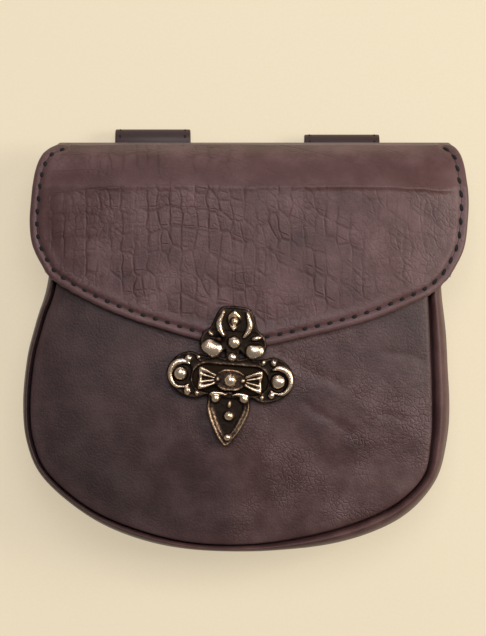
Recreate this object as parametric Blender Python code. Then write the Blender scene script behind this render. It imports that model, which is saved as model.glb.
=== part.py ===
"""A leather belt bag that lies on its back, as on a table.

The front of the pouch faces up (+Z), the belt loops point along +Y and the right side is +X.
All sizes are in metres and each one is written once, here at the top.
"""

import math
from collections import namedtuple

import bmesh
import bpy
import numpy as np
from mathutils import Matrix, Vector

MM = 0.001

# The gap between pieces that are sewn or riveted together, and between pieces that only lie on each other
SEAM_GAP = 0.3 * MM
LAY_GAP = 0.6 * MM

# Thickness of each hide
FRONT_WALL = 2.0 * MM
GUSSET_WALL = 2.0 * MM
BACK_WALL = 2.2 * MM
FLAP_WALL = 2.6 * MM
LOOP_WALL = 2.6 * MM

# The pouch, seen from the front
POUCH_WIDTH = 180.0 * MM
POUCH_HEIGHT = 170.5 * MM
POUCH_BOTTOM = -89.6 * MM
POUCH_CENTRE = -3.6 * MM
POUCH_DEPTH = 34.0 * MM
MOUTH_DROP = 18.0 * MM

# The front panel swells over the rim of the gusset
FRONT_SWELL = 6.0 * MM
BELLY_SWELL = 1.6 * MM
GROOVE_DEPTH = 2.0 * MM
BACK_SEAM_INSET = 6.0 * MM

# The flap
FLAP_WIDTH = 184.8 * MM
FLAP_CENTRE = 1.4 * MM
FLAP_SIDE = 56.2 * MM
FLAP_POINT = 31.2 * MM
FOLD_RADIUS = 5.0 * MM
FLAP_LEG = 25.0 * MM

# The belt loops. The inset is from half the pouch's width to the middle of a loop.
LOOP_WIDTH = 32.0 * MM
LOOP_INSET = 49.75 * MM
LOOP_CENTRE = 1.0 * MM
LOOP_LENGTH = 85.0 * MM
LEFT_STAND = 8.5 * MM
RIGHT_STAND = 6.3 * MM
BELT_GAP = 5.0 * MM
LOOP_TAB = 12.0 * MM

# The brass clasp, in its own frame: u to the right, v up and w out of the front. The drop is from the
# top of the flap to the middle of the bow.
CLASP_X = -6.1 * MM
CLASP_DROP = 99.8 * MM
CLASP_TURN = 4.5
CLASP_LEAN = 2.0
CLASP_WIDTH = 53.0 * MM
CLASP_HEIGHT = 57.7 * MM
PLATE_THICK = 1.8 * MM
SLOT_LENGTH = 31.0 * MM
SLOT_WIDTH = 11.4 * MM
LOW_RELIEF = 1.0 * MM
RUN_GAP = 0.5 * MM
BOW_REACH = 14.0 * MM
BOW_THICK = 1.5 * MM
BALL_RADIUS = 2.6 * MM
POST_RADIUS = 1.8 * MM
BASE_RADIUS = 7.0 * MM

LEATHER = {"front": "#4A3633", "gusset": "#54403A", "back": "#463430", "flap": "#5C4847", "loop": "#4E3C39"}
BRASS = "#8A7350"

# The outline of the pouch from its top left corner, down, round the bottom and up the other side.
# across is a share of the width from the middle, up is a share of the height from the bottom, and
# rim is how far in from the outline the front seam runs, as a share of the depth.
PouchRow = namedtuple("PouchRow", "across up rim")
POUCH_OUTLINE = [
    PouchRow(-0.411, 1.000, 0.100),
    PouchRow(-0.422, 0.831, 0.095),
    PouchRow(-0.443, 0.665, 0.095),
    PouchRow(-0.470, 0.565, 0.095),
    PouchRow(-0.490, 0.481, 0.095),
    PouchRow(-0.500, 0.371, 0.095),
    PouchRow(-0.492, 0.272, 0.095),
    PouchRow(-0.453, 0.183, 0.095),
    PouchRow(-0.354, 0.093, 0.100),
    PouchRow(-0.241, 0.036, 0.115),
    PouchRow(-0.109, 0.006, 0.095),
    PouchRow(0.032, 0.000, 0.095),
    PouchRow(0.178, 0.010, 0.155),
    PouchRow(0.305, 0.041, 0.195),
    PouchRow(0.401, 0.096, 0.180),
    PouchRow(0.468, 0.177, 0.165),
    PouchRow(0.493, 0.272, 0.195),
    PouchRow(0.500, 0.376, 0.215),
    PouchRow(0.493, 0.520, 0.200),
    PouchRow(0.481, 0.650, 0.165),
    PouchRow(0.474, 0.831, 0.150),
    PouchRow(0.465, 1.000, 0.140),
]

# The flap's outline as it lies over the front. across is a share of the flap's width from its middle.
# On the sides, down is a share of the way from the top fold to where the sides turn in. On the lower
# edge it is a share of the way from there down to the point.
FlapRow = namedtuple("FlapRow", "across down")
FLAP_SIDE_LEFT = [
    FlapRow(-0.445, 0.000),
    FlapRow(-0.470, 0.120),
    FlapRow(-0.486, 0.260),
    FlapRow(-0.495, 0.450),
    FlapRow(-0.498, 0.620),
    FlapRow(-0.490, 0.800),
    FlapRow(-0.458, 1.000),
]
FLAP_EDGE = [
    FlapRow(-0.458, 0.000),
    FlapRow(-0.428, 0.150),
    FlapRow(-0.347, 0.410),
    FlapRow(-0.265, 0.610),
    FlapRow(-0.183, 0.765),
    FlapRow(-0.110, 0.890),
    FlapRow(-0.035, 1.000),
    FlapRow(0.040, 0.960),
    FlapRow(0.125, 0.850),
    FlapRow(0.205, 0.740),
    FlapRow(0.275, 0.620),
    FlapRow(0.350, 0.450),
    FlapRow(0.415, 0.270),
    FlapRow(0.456, 0.060),
]
FLAP_SIDE_RIGHT = [
    FlapRow(0.458, 0.000),
    FlapRow(0.478, 0.120),
    FlapRow(0.495, 0.260),
    FlapRow(0.502, 0.430),
    FlapRow(0.500, 0.600),
    FlapRow(0.490, 0.820),
    FlapRow(0.456, 1.030),
]

# The flap from the ridge over the pouch's mouth back to its fold. back is a share of the way from
# the ridge to the fold, and height is a share of the way from the back up to the ridge.
SlopeRow = namedtuple("SlopeRow", "back height")
FLAP_SLOPE = [
    SlopeRow(0.00, 1.000),
    SlopeRow(0.14, 0.945),
    SlopeRow(0.38, 0.850),
    SlopeRow(0.70, 0.680),
    SlopeRow(0.92, 0.440),
]

# The gusset's section from the back seam to the front seam. back and rim say how much of the back
# inset and of the rim inset the point is moved in, and height is a share of the depth.
SectionRow = namedtuple("SectionRow", "back rim height")
GUSSET_OUTSIDE = [
    SectionRow(1.00, 0.00, 0.00),
    SectionRow(0.50, 0.00, 0.02),
    SectionRow(0.15, 0.00, 0.13),
    SectionRow(0.00, 0.00, 0.36),
    SectionRow(0.00, 0.06, 0.62),
    SectionRow(0.00, 0.22, 0.86),
    SectionRow(0.00, 0.45, 1.02),
    SectionRow(0.00, 0.78, 1.04),
    SectionRow(0.00, 1.00, 0.99),
]

# The back steps up over the tabs of the loops, over the loops and over the flap's leg, and each
# step is done a little before the piece that it clears
STEP_LENGTH = 12.0 * MM
STEP_LEAD = 6.0 * MM

STATIONS = 57


def smooth_path(points, steps=10):
    """A Catmull-Rom curve through rows of numbers whose first two columns are x and y."""
    rows = np.array(points, dtype=float)
    rows = np.vstack([2 * rows[0] - rows[1], rows, 2 * rows[-1] - rows[-2]])
    curve = []
    for i in range(1, len(rows) - 2):
        a, b, c, d = rows[i - 1 : i + 3]
        for t in np.arange(steps) / steps:
            curve.append(0.5 * (2 * b + (c - a) * t + (2 * a - 5 * b + 4 * c - d) * t**2 + (3 * b - a - 3 * c + d) * t**3))
    curve.append(rows[-2])
    return np.array(curve)


def along(path, shares):
    """Rows of a path at shares of its length."""
    steps = np.hypot(*np.diff(path[:, :2], axis=0).T)
    length = np.concatenate([[0.0], np.cumsum(steps)])
    wanted = np.asarray(shares) * length[-1]
    return np.column_stack([np.interp(wanted, length, path[:, k]) for k in range(path.shape[1])])


def outward(path):
    """Unit normals of a path that runs anticlockwise round what it bounds."""
    tangent = np.gradient(path[:, :2], axis=0)
    normal = np.column_stack([tangent[:, 1], -tangent[:, 0]])
    return normal / np.linalg.norm(normal, axis=1)[:, None]


def ease(t):
    """0 below 0, 1 above 1, and a smooth rise between."""
    t = np.clip(t, 0.0, 1.0)
    return t * t * (3 - 2 * t)


# Heights that follow from the sizes above
LOOP_HEIGHT = 2 * LOOP_WALL + BELT_GAP
POUCH_TOP = POUCH_BOTTOM + POUCH_HEIGHT
MOUTH_Y = POUCH_TOP - MOUTH_DROP
FLAP_TOP = POUCH_TOP + FLAP_WALL - SEAM_GAP
BACK_TOP = FLAP_TOP - FOLD_RADIUS
LOOP_BOTTOM = POUCH_TOP + RIGHT_STAND - LOOP_LENGTH
LEG_END = FLAP_TOP - FLAP_LEG
LEG_BASE = LOOP_HEIGHT + SEAM_GAP
RIM_Z = POUCH_DEPTH
CLASP_Y = FLAP_TOP - CLASP_DROP
LOOP_REACH = POUCH_WIDTH / 2 - LOOP_INSET

# Where each step of the back panel ends, and the height it reaches there
StepRow = namedtuple("StepRow", "end length rise")
BACK_STEPS = [
    StepRow(LOOP_BOTTOM - STEP_LEAD, STEP_LENGTH, LOOP_WALL + SEAM_GAP),
    StepRow(LOOP_BOTTOM + LOOP_TAB + 1.6 * STEP_LENGTH, 1.6 * STEP_LENGTH, LOOP_HEIGHT - LOOP_WALL),
    StepRow(LEG_END - STEP_LEAD, STEP_LENGTH, FLAP_WALL + SEAM_GAP),
]


def back_height(y):
    """Height of the back panel's underside over the floor."""
    return sum(step.rise * ease((y - step.end + step.length) / step.length) for step in BACK_STEPS)


def pouch_stations():
    """The pouch's outline as x, y and rim inset at even steps, with its normals."""
    rows = [
        (POUCH_CENTRE + row.across * POUCH_WIDTH, POUCH_BOTTOM + row.up * POUCH_HEIGHT, row.rim * POUCH_DEPTH)
        for row in POUCH_OUTLINE
    ]
    path = along(smooth_path(rows), np.linspace(0.0, 1.0, STATIONS))
    return path, outward(path)


def pulled_to(path, top):
    """The outline with its two upper ends moved to another height."""
    side = POUCH_BOTTOM + 0.6 * POUCH_HEIGHT
    moved = path.copy()
    high = path[:, 1] > side
    moved[high, 1] = side + (path[high, 1] - side) * (top - side) / (POUCH_TOP - side)
    return moved


def front_seam():
    """Stations of the groove between the front panel and the gusset."""
    path, normal = pouch_stations()
    path = pulled_to(path, MOUTH_Y)
    return path[:, :2] - normal * path[:, 2:3], normal


def pillow_height(x, y):
    """The swell that the front panel and the flap follow, measured from the middle of the mouth."""
    seam, _ = front_seam()
    middle = (seam[0, 0] + seam[-1, 0]) / 2
    turn = np.arctan2(-np.abs(seam[:, 1] - MOUTH_Y), seam[:, 0] - middle)
    turn = np.where(turn > 0, -turn, turn)
    order = np.argsort(turn)
    reach = np.hypot(seam[:, 0] - middle, seam[:, 1] - MOUTH_Y)
    dx = np.asarray(x) - middle
    dy = np.minimum(np.asarray(y) - MOUTH_Y, -1e-9)
    radius = np.hypot(dx, dy) / np.interp(np.arctan2(dy, dx), turn[order], reach[order])
    centre_y = POUCH_BOTTOM + 0.33 * POUCH_HEIGHT
    belly = np.hypot(dx / (0.33 * POUCH_WIDTH), (np.asarray(y) - centre_y) / (0.3 * POUCH_HEIGHT))
    return RIM_Z + FRONT_SWELL * (1 - radius**3.2) + BELLY_SWELL * (1 - ease(belly))


def new_object(name, bm, material):
    """Turn a bmesh into an object with its material."""
    bmesh.ops.recalc_face_normals(bm, faces=bm.faces)
    mesh = bpy.data.meshes.new(name)
    bm.to_mesh(mesh)
    bm.free()
    mesh.materials.append(material)
    mesh.shade_smooth()
    mesh.set_sharp_from_angle(angle=math.radians(40))
    obj = bpy.data.objects.new(name, mesh)
    bpy.context.scene.collection.objects.link(obj)
    return obj


def make_material(name, colour, roughness, metallic):
    """A plain finish from an sRGB hex colour."""
    material = bpy.data.materials.new(name)
    material.use_nodes = True
    shader = material.node_tree.nodes["Principled BSDF"]
    parts = [int(colour[i : i + 2], 16) / 255 for i in (1, 3, 5)]
    linear = [c / 12.92 if c <= 0.04045 else ((c + 0.055) / 1.055) ** 2.4 for c in parts]
    shader.inputs["Base Color"].default_value = (*linear, 1.0)
    shader.inputs["Roughness"].default_value = roughness
    shader.inputs["Metallic"].default_value = metallic
    return material


def shell(outer, inner, closed_rows=False):
    """A closed solid between two grids of points with the same rows and columns."""
    rows, columns = len(outer), len(outer[0])
    bm = bmesh.new()
    skins = [[[bm.verts.new(Vector(p)) for p in row] for row in grid] for grid in (outer, inner)]
    for skin in skins:
        for i in range(rows - 1):
            for j in range(columns - 1):
                bm.faces.new((skin[i][j], skin[i][j + 1], skin[i + 1][j + 1], skin[i + 1][j]))
    rim = [(i, 0) for i in range(rows)] + [(rows - 1, j) for j in range(1, columns)]
    rim += [(i, columns - 1) for i in range(rows - 2, -1, -1)] + [(0, j) for j in range(columns - 2, 0, -1)]
    for (i, j), (k, m) in zip(rim, rim[1:] + rim[:1]):
        bm.faces.new((skins[0][i][j], skins[0][k][m], skins[1][k][m], skins[1][i][j]))
    return bm


def offset_grid(grid, distance):
    """The grid moved along its own normals."""
    grid = np.array(grid)
    down = np.gradient(grid, axis=0)
    across = np.gradient(grid, axis=1)
    normal = np.cross(across, down)
    normal /= np.linalg.norm(normal, axis=2)[:, :, None]
    return grid + normal * distance


def build_front_panel(material):
    """A domed hide whose edge turns down into the seam, as rings from the middle of the mouth."""
    seam, normal = front_seam()
    edge = seam - normal * SEAM_GAP
    pole = np.array([(edge[0, 0] + edge[-1, 0]) / 2, MOUTH_Y])
    shares = [0.0, 0.22, 0.42, 0.58, 0.72, 0.84, 0.93, 0.972, 1.0]
    bm = bmesh.new()
    rings = []
    for share in shares[1:]:
        points = pole + (edge - pole) * share
        top = pillow_height(points[:, 0], points[:, 1])
        if share == 1.0:
            top = top * 0 + RIM_Z - GROOVE_DEPTH
        rings.append([(x, y, z) for (x, y), z in zip(points, top)])
    crown = (pole[0], pole[1], float(pillow_height(pole[0], pole[1])))
    skins = []
    for drop in (0.0, FRONT_WALL):
        tip = bm.verts.new((crown[0], crown[1], crown[2] - drop))
        skin = [[bm.verts.new((x, y, z - drop)) for x, y, z in ring] for ring in rings]
        for a, b in zip(skin[0], skin[0][1:]):
            bm.faces.new((tip, a, b))
        for inner, outer in zip(skin, skin[1:]):
            for i in range(STATIONS - 1):
                bm.faces.new((inner[i], outer[i], outer[i + 1], inner[i + 1]))
        skins.append((tip, skin))
    (tip_a, skin_a), (tip_b, skin_b) = skins
    for i in range(STATIONS - 1):
        bm.faces.new((skin_a[-1][i], skin_a[-1][i + 1], skin_b[-1][i + 1], skin_b[-1][i]))
    for end in (0, STATIONS - 1):
        line_a = [tip_a] + [ring[end] for ring in skin_a]
        line_b = [tip_b] + [ring[end] for ring in skin_b]
        for k in range(len(line_a) - 1):
            bm.faces.new((line_a[k], line_a[k + 1], line_b[k + 1], line_b[k]))
    return new_object("front_panel", bm, material)


def build_gusset(material):
    """The side strip, lofted along the outline, turned in at both seams."""
    path, normal = pouch_stations()
    depth_at = RIM_Z - GROOVE_DEPTH
    sections = []
    for row in GUSSET_OUTSIDE:
        share = min(row.height, 1.0)
        top = MOUTH_Y + (BACK_TOP - MOUTH_Y) * math.sqrt(1 - share * share)
        line = pulled_to(path, top)
        base = back_height(line[:, 1])
        inset = row.back * BACK_SEAM_INSET + row.rim * line[:, 2]
        xy = line[:, :2] - normal * inset[:, None]
        sections.append(np.column_stack([xy, base + (depth_at - base) * row.height]))
    outer = np.array(sections)

    def inside(k, pull, lift):
        moved = outer[k].copy()
        moved[:, :2] -= normal * (pull * GUSSET_WALL)
        moved[:, 2] += lift * GUSSET_WALL
        return moved

    inner = [
        inside(0, 0.0, 1.0),
        inside(1, 0.1, 1.1),
        inside(2, 0.8, 0.7),
        inside(3, 1.0, 0.0),
        inside(4, 1.0, 0.0),
        inside(5, 1.0, -0.3),
        inside(6, 0.5, -1.4),
        inside(7, 0.1, -1.4),
        inside(8, 0.0, -1.2),
    ]
    return new_object("gusset", shell(outer, inner), material)


def build_back_panel(material):
    """The back, as a ladder of rows between the two sides of its seam."""
    path, normal = pouch_stations()
    path = pulled_to(path, BACK_TOP)
    edge = path[:, :2] - normal * (BACK_SEAM_INSET + SEAM_GAP)
    half = STATIONS // 2
    columns = 9
    under = []
    for i in range(half):
        left, right = edge[i], edge[STATIONS - 1 - i]
        row = [left + (right - left) * share for share in np.linspace(0.0, 1.0, columns)]
        under.append([(x, y, float(back_height(y))) for x, y in row])
    upper = [[(x, y, z + BACK_WALL) for x, y, z in row] for row in under]
    bm = shell(under, upper)
    last = edge[half]
    bm.verts.ensure_lookup_table()
    count = half * columns
    low = bm.verts.new((last[0], last[1], float(back_height(last[1]))))
    high = bm.verts.new((last[0], last[1], float(back_height(last[1])) + BACK_WALL))
    first = (half - 1) * columns
    bm.verts.ensure_lookup_table()
    end_row = [bm.verts[first + j] for j in range(columns)]
    end_top = [bm.verts[count + first + j] for j in range(columns)]
    for j in range(columns - 1):
        bm.faces.remove(bm.faces.get((end_row[j], end_row[j + 1], end_top[j + 1], end_top[j])))
        bm.faces.new((end_row[j], end_row[j + 1], low))
        bm.faces.new((end_top[j], end_top[j + 1], high))
    bm.faces.new((end_row[0], low, high, end_top[0]))
    bm.faces.new((end_row[-1], end_top[-1], high, low))
    return new_object("back_panel", bm, material)


def flap_outline():
    """The flap's left side, lower edge and right side as curves of x and y."""
    level = FLAP_TOP - FLAP_SIDE

    def side(rows):
        return smooth_path(
            [(FLAP_CENTRE + row.across * FLAP_WIDTH, FLAP_TOP + (level - FLAP_TOP) * row.down) for row in rows]
        )

    left, right = side(FLAP_SIDE_LEFT), side(FLAP_SIDE_RIGHT)
    edge = smooth_path([(FLAP_CENTRE + row.across * FLAP_WIDTH, level - FLAP_POINT * row.down) for row in FLAP_EDGE])
    edge[0], edge[-1] = left[-1], right[-1]
    return left, edge, right


def flap_surface(columns=27, front_rows=11):
    """The flap's outer face as rows from its leg on the back, over the fold, to its point."""
    left, edge, right = flap_outline()
    share = np.linspace(0.0, 1.0, columns)
    ridge_y = MOUTH_Y + LAY_GAP
    lift = LAY_GAP + FLAP_WALL

    def ends(y):
        return [np.interp(-y, -side[:, 1], side[:, 0]) for side in (left, right)]

    def ridge_height(x):
        return pillow_height(x, ridge_y) + lift

    rows = []
    fold_y = FLAP_TOP - FOLD_RADIUS
    low_left, low_right = ends(FLAP_TOP)
    fold = [(FOLD_RADIUS * math.sin(a), FOLD_RADIUS * (1 - math.cos(a))) for a in np.radians([0, 35, 65, 90])]
    leg = [(LEG_END - fold_y, 0.0), (0.45 * (LEG_END - fold_y), 0.0)]
    for dy, dz in leg + fold:
        x = low_left + (low_right - low_left) * share
        rows.append(np.column_stack([x, x * 0 + fold_y + dy, x * 0 + LEG_BASE + dz]))
    for row in reversed(FLAP_SLOPE):
        y = ridge_y + (FLAP_TOP - ridge_y) * row.back
        a, b = ends(y)
        x = a + (b - a) * share
        z = LEG_BASE + (ridge_height(x) - LEG_BASE) * row.height
        rows.append(np.column_stack([x, x * 0 + y, z]))
    ridge = rows[-1][:, :2]

    def rest_of(side):
        """The side from the ridge down to the lower edge."""
        start = np.interp(-ridge_y, -side[:, 1], np.arange(len(side)))
        kept = side[int(math.ceil(start)) :]
        return np.vstack([[np.interp(-ridge_y, -side[:, 1], side[:, 0]), ridge_y], kept])

    steps = np.linspace(0.0, 1.0, front_rows + 1)[1:]
    side_a, side_b = along(rest_of(left), steps), along(rest_of(right), steps)
    lower = along(edge, share)
    for v, a, b in zip(steps, side_a, side_b):
        u = share[:, None]
        flat = (1 - v) * ridge + v * lower + (1 - u) * a + u * b
        flat -= (1 - v) * ((1 - u) * ridge[0] + u * ridge[-1]) + v * ((1 - u) * lower[0] + u * lower[-1])
        rows.append(np.column_stack([flat, pillow_height(flat[:, 0], flat[:, 1]) + lift]))
    return rows


def build_flap(material):
    """The flap as a hide of even thickness inside its outer face."""
    outer = np.array(flap_surface())
    inner = offset_grid(outer, FLAP_WALL)
    return new_object("flap", shell(outer, inner), material)


def build_loop(name, centre, stand, material):
    """A strip folded on itself and sewn at its lower end, as an outline with a slot, pushed out sideways.

    Both loops start at one level, and stand is how far the fold rises over the top of the pouch.
    """
    radius = LOOP_HEIGHT / 2
    hollow = BELT_GAP / 2
    middle = POUCH_TOP + stand - radius
    ramp = LOOP_BOTTOM + LOOP_TAB + 2.3 * STEP_LENGTH
    tab_end = LOOP_BOTTOM + LOOP_TAB + 0.3 * STEP_LENGTH
    turns = np.radians(np.linspace(-90, 90, 9))
    outline = [(LOOP_BOTTOM, 0.0)]
    outline += [(middle + radius * math.cos(a), radius + radius * math.sin(a)) for a in turns]
    outline += [(ramp, LOOP_HEIGHT), (tab_end, LOOP_WALL), (LOOP_BOTTOM, LOOP_WALL)]
    slot = [(tab_end + 3 * LOOP_WALL, LOOP_WALL)]
    slot += [(middle + hollow * math.cos(a), radius + hollow * math.sin(a)) for a in turns]
    slot += [(ramp + LOOP_WALL / 2, LOOP_HEIGHT - LOOP_WALL)]
    bm = bmesh.new()
    edges = []
    for line in (outline, slot):
        ring = [bm.verts.new((centre - LOOP_WIDTH / 2, y, z)) for y, z in line]
        edges += [bm.edges.new((a, b)) for a, b in zip(ring, ring[1:] + ring[:1])]
    filled = bmesh.ops.triangle_fill(bm, use_beauty=True, use_dissolve=False, edges=edges)
    faces = [item for item in filled["geom"] if isinstance(item, bmesh.types.BMFace)]
    pushed = bmesh.ops.extrude_face_region(bm, geom=faces)
    moved = [item for item in pushed["geom"] if isinstance(item, bmesh.types.BMVert)]
    bmesh.ops.translate(bm, verts=moved, vec=(LOOP_WIDTH, 0.0, 0.0))
    return new_object(name, bm, material)


# Half of the clasp's outline, from the top down to the tip: u is a share of the width and v of the
# height, both measured from the middle of the bow.
ClaspRow = namedtuple("ClaspRow", "u v")
CLASP_OUTLINE = [
    ClaspRow(0.062, 0.528),
    ClaspRow(0.120, 0.508),
    ClaspRow(0.158, 0.440),
    ClaspRow(0.188, 0.370),
    ClaspRow(0.240, 0.325),
    ClaspRow(0.264, 0.250),
    ClaspRow(0.236, 0.190),
    ClaspRow(0.170, 0.152),
    ClaspRow(0.250, 0.165),
    ClaspRow(0.330, 0.183),
    ClaspRow(0.420, 0.152),
    ClaspRow(0.482, 0.085),
    ClaspRow(0.500, 0.023),
    ClaspRow(0.478, -0.050),
    ClaspRow(0.410, -0.112),
    ClaspRow(0.330, -0.145),
    ClaspRow(0.250, -0.150),
    ClaspRow(0.172, -0.125),
    ClaspRow(0.168, -0.215),
    ClaspRow(0.142, -0.290),
    ClaspRow(0.098, -0.375),
    ClaspRow(0.045, -0.450),
    ClaspRow(0.012, -0.478),
]

def mirrored(rows, width, height):
    """A closed outline from its right half."""
    right = [(row.u * width, row.v * height) for row in rows]
    return right + [(-u, v) for u, v in reversed(right)]


# The clasp's frame and heights
FLAP_TIP_Y = FLAP_TOP - FLAP_SIDE - FLAP_POINT
BOW_UNDER = PLATE_THICK + LOW_RELIEF + RUN_GAP


def clasp_frame():
    """The matrix that carries the clasp's own frame onto the bag, with its plate seated on the flap."""
    turn = Matrix.Rotation(math.radians(-CLASP_TURN), 4, "Z") @ Matrix.Rotation(math.radians(CLASP_LEAN), 4, "X")
    seats = []
    for u, v in mirrored(CLASP_OUTLINE, CLASP_WIDTH, CLASP_HEIGHT):
        reach = turn @ Vector((u, v, 0.0))
        x, y = CLASP_X + reach.x, CLASP_Y + reach.y
        cover = LAY_GAP + FLAP_WALL if y > FLAP_TIP_Y else 0.0
        seats.append(float(pillow_height(x, y)) + cover - reach.z)
    return Matrix.Translation((CLASP_X, CLASP_Y, max(seats) + SEAM_GAP)) @ turn


def room_under_clasp():
    """The height between the front panel and the clasp's plate under the bow."""
    return clasp_frame().translation.z - float(pillow_height(CLASP_X, CLASP_Y))


def prism(points, low, high):
    """An outline pushed from one height to another, with a fine bevel left to the finish."""
    bm = bmesh.new()
    base = bm.faces.new([bm.verts.new((u, v, low)) for u, v in points])
    pushed = bmesh.ops.extrude_face_region(bm, geom=[base])
    moved = [item for item in pushed["geom"] if isinstance(item, bmesh.types.BMVert)]
    bmesh.ops.translate(bm, verts=moved, vec=(0.0, 0.0, high - low))
    return bm


def dome(u, v, w, size, sides=12, rings=3, turn=0.0):
    """Half an egg with its flat side down at w, of half sizes (u, v) and a height."""
    bm = bmesh.new()
    place = Matrix.Translation((u, v, w)) @ Matrix.Rotation(math.radians(turn), 4, "Z") @ Matrix.Diagonal((*size, 1.0))
    turns = np.arange(sides) * 2 * math.pi / sides
    rows = []
    for rise in np.arange(rings) * math.pi / 2 / rings:
        flat, lift = math.cos(rise), math.sin(rise)
        rows.append([bm.verts.new(place @ Vector((flat * math.cos(a), flat * math.sin(a), lift))) for a in turns])
    crown = bm.verts.new(place @ Vector((0.0, 0.0, 1.0)))
    bm.faces.new(reversed(rows[0]))
    for i in range(sides):
        k = (i + 1) % sides
        for low, high in zip(rows, rows[1:]):
            bm.faces.new((low[i], low[k], high[k], high[i]))
        bm.faces.new((rows[-1][i], rows[-1][k], crown))
    return bm


def ball(w, radius, sides=12, rings=8):
    """A whole ball on the clasp's axis."""
    bm = bmesh.new()
    place = Matrix.Translation((0.0, 0.0, w))
    bmesh.ops.create_uvsphere(bm, u_segments=sides, v_segments=rings, radius=radius, matrix=place)
    return bm


def drum(radius, low, high, sides=16):
    """A round post between two heights."""
    turns = np.arange(sides) * 2 * math.pi / sides
    return prism([(radius * math.cos(a), radius * math.sin(a)) for a in turns], low, high)


def hoop(u, v, w, radius, wire, sides=16, round_sides=6):
    """A ring of round wire."""
    bm = bmesh.new()
    rings = []
    for a in np.arange(sides) * 2 * math.pi / sides:
        reach = [radius + wire * math.cos(b) for b in np.arange(round_sides) * 2 * math.pi / round_sides]
        lift = [w + wire * math.sin(b) for b in np.arange(round_sides) * 2 * math.pi / round_sides]
        rings.append([bm.verts.new((u + r * math.cos(a), v + r * math.sin(a), z)) for r, z in zip(reach, lift)])
    for i in range(sides):
        for j in range(round_sides):
            k, m = (i + 1) % sides, (j + 1) % round_sides
            bm.faces.new((rings[i][j], rings[k][j], rings[k][m], rings[i][m]))
    return bm


def combined(name, base, others, material, operation="UNION"):
    """One solid from a base and others, by exact booleans."""
    result = new_object(name, base, material)
    for bm in others:
        tool = new_object("tool", bm, material)
        modifier = result.modifiers.new("join", "BOOLEAN")
        modifier.operation = operation
        modifier.solver = "EXACT"
        modifier.object = tool
        evaluated = result.evaluated_get(bpy.context.evaluated_depsgraph_get())
        mesh = bpy.data.meshes.new_from_object(evaluated)
        result.modifiers.clear()
        old = result.data
        result.data = mesh
        mesh.name = name
        bpy.data.meshes.remove(old)
        bpy.data.objects.remove(tool)
    return result


# The raised relief of one side of the clasp: where each boss sits, its half sizes as shares of the
# clasp's width, and its height over the plate as a share of the plate's thickness. A boss whose u
# is 0 is made once.
BossRow = namedtuple("BossRow", "u v across up height")
CLASP_BOSSES = [
    BossRow(0.000, 0.438, 0.055, 0.074, 0.85),
    BossRow(0.104, 0.405, 0.024, 0.090, 0.75),
    BossRow(0.170, 0.228, 0.080, 0.062, 0.95),
    BossRow(0.172, 0.320, 0.034, 0.022, 0.60),
    BossRow(0.000, 0.292, 0.049, 0.049, 1.45),
    BossRow(0.000, 0.166, 0.032, 0.034, 0.50),
    BossRow(0.375, 0.025, 0.060, 0.060, 1.45),
    BossRow(0.330, 0.142, 0.028, 0.028, 0.80),
    BossRow(0.322, -0.090, 0.030, 0.034, 0.75),
    BossRow(0.252, -0.108, 0.022, 0.022, 0.55),
    BossRow(0.125, -0.140, 0.036, 0.028, 0.50),
    BossRow(0.000, -0.272, 0.040, 0.040, 0.90),
    BossRow(0.000, -0.412, 0.026, 0.026, 0.70),
]
LOBE = CLASP_BOSSES[6]
BOSS_ROOT = 0.6
LOBE_RIM = 0.098
RIM_WIRE = 0.70 * MM


def build_clasp_plate(material):
    """The cast cross: a plate with a slot, and raised bosses."""
    plate = prism(mirrored(CLASP_OUTLINE, CLASP_WIDTH, CLASP_HEIGHT), 0.0, PLATE_THICK)
    half = SLOT_LENGTH / 2 - SLOT_WIDTH / 2
    turns = np.radians(np.linspace(-90, 90, 9))
    end = [(half + SLOT_WIDTH / 2 * math.cos(a), SLOT_WIDTH / 2 * math.sin(a)) for a in turns]
    slot = prism(end + [(-u, -v) for u, v in end], -PLATE_THICK, 2 * PLATE_THICK)
    cast = combined("clasp_plate", plate, [slot], material, "DIFFERENCE")
    bosses = []
    for row in CLASP_BOSSES:
        sizes = (row.across * CLASP_WIDTH, row.up * CLASP_WIDTH, (row.height + 1 - BOSS_ROOT) * PLATE_THICK)
        for side in (1, -1) if row.u else (1,):
            u, v = side * row.u * CLASP_WIDTH, row.v * CLASP_HEIGHT
            bosses.append(dome(u, v, BOSS_ROOT * PLATE_THICK, sizes, turn=7.0))
    for side in (1, -1):
        centre = side * LOBE.u * CLASP_WIDTH
        bosses.append(hoop(centre, LOBE.v * CLASP_HEIGHT, PLATE_THICK, LOBE_RIM * CLASP_WIDTH, RIM_WIRE))
    base = bmesh.new()
    cast.data.materials.clear()
    base.from_mesh(cast.data)
    bpy.data.objects.remove(cast)
    done = combined("clasp_plate", base, bosses, material)
    done.matrix_world = clasp_frame()
    return done


# A quarter of the bow's outline: shares of its reach
BOW_OUTLINE = [
    ClaspRow(0.000, 0.205),
    ClaspRow(0.215, 0.180),
    ClaspRow(0.500, 0.250),
    ClaspRow(0.780, 0.310),
    ClaspRow(0.930, 0.325),
    ClaspRow(0.945, 0.200),
    ClaspRow(0.890, 0.080),
]


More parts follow.
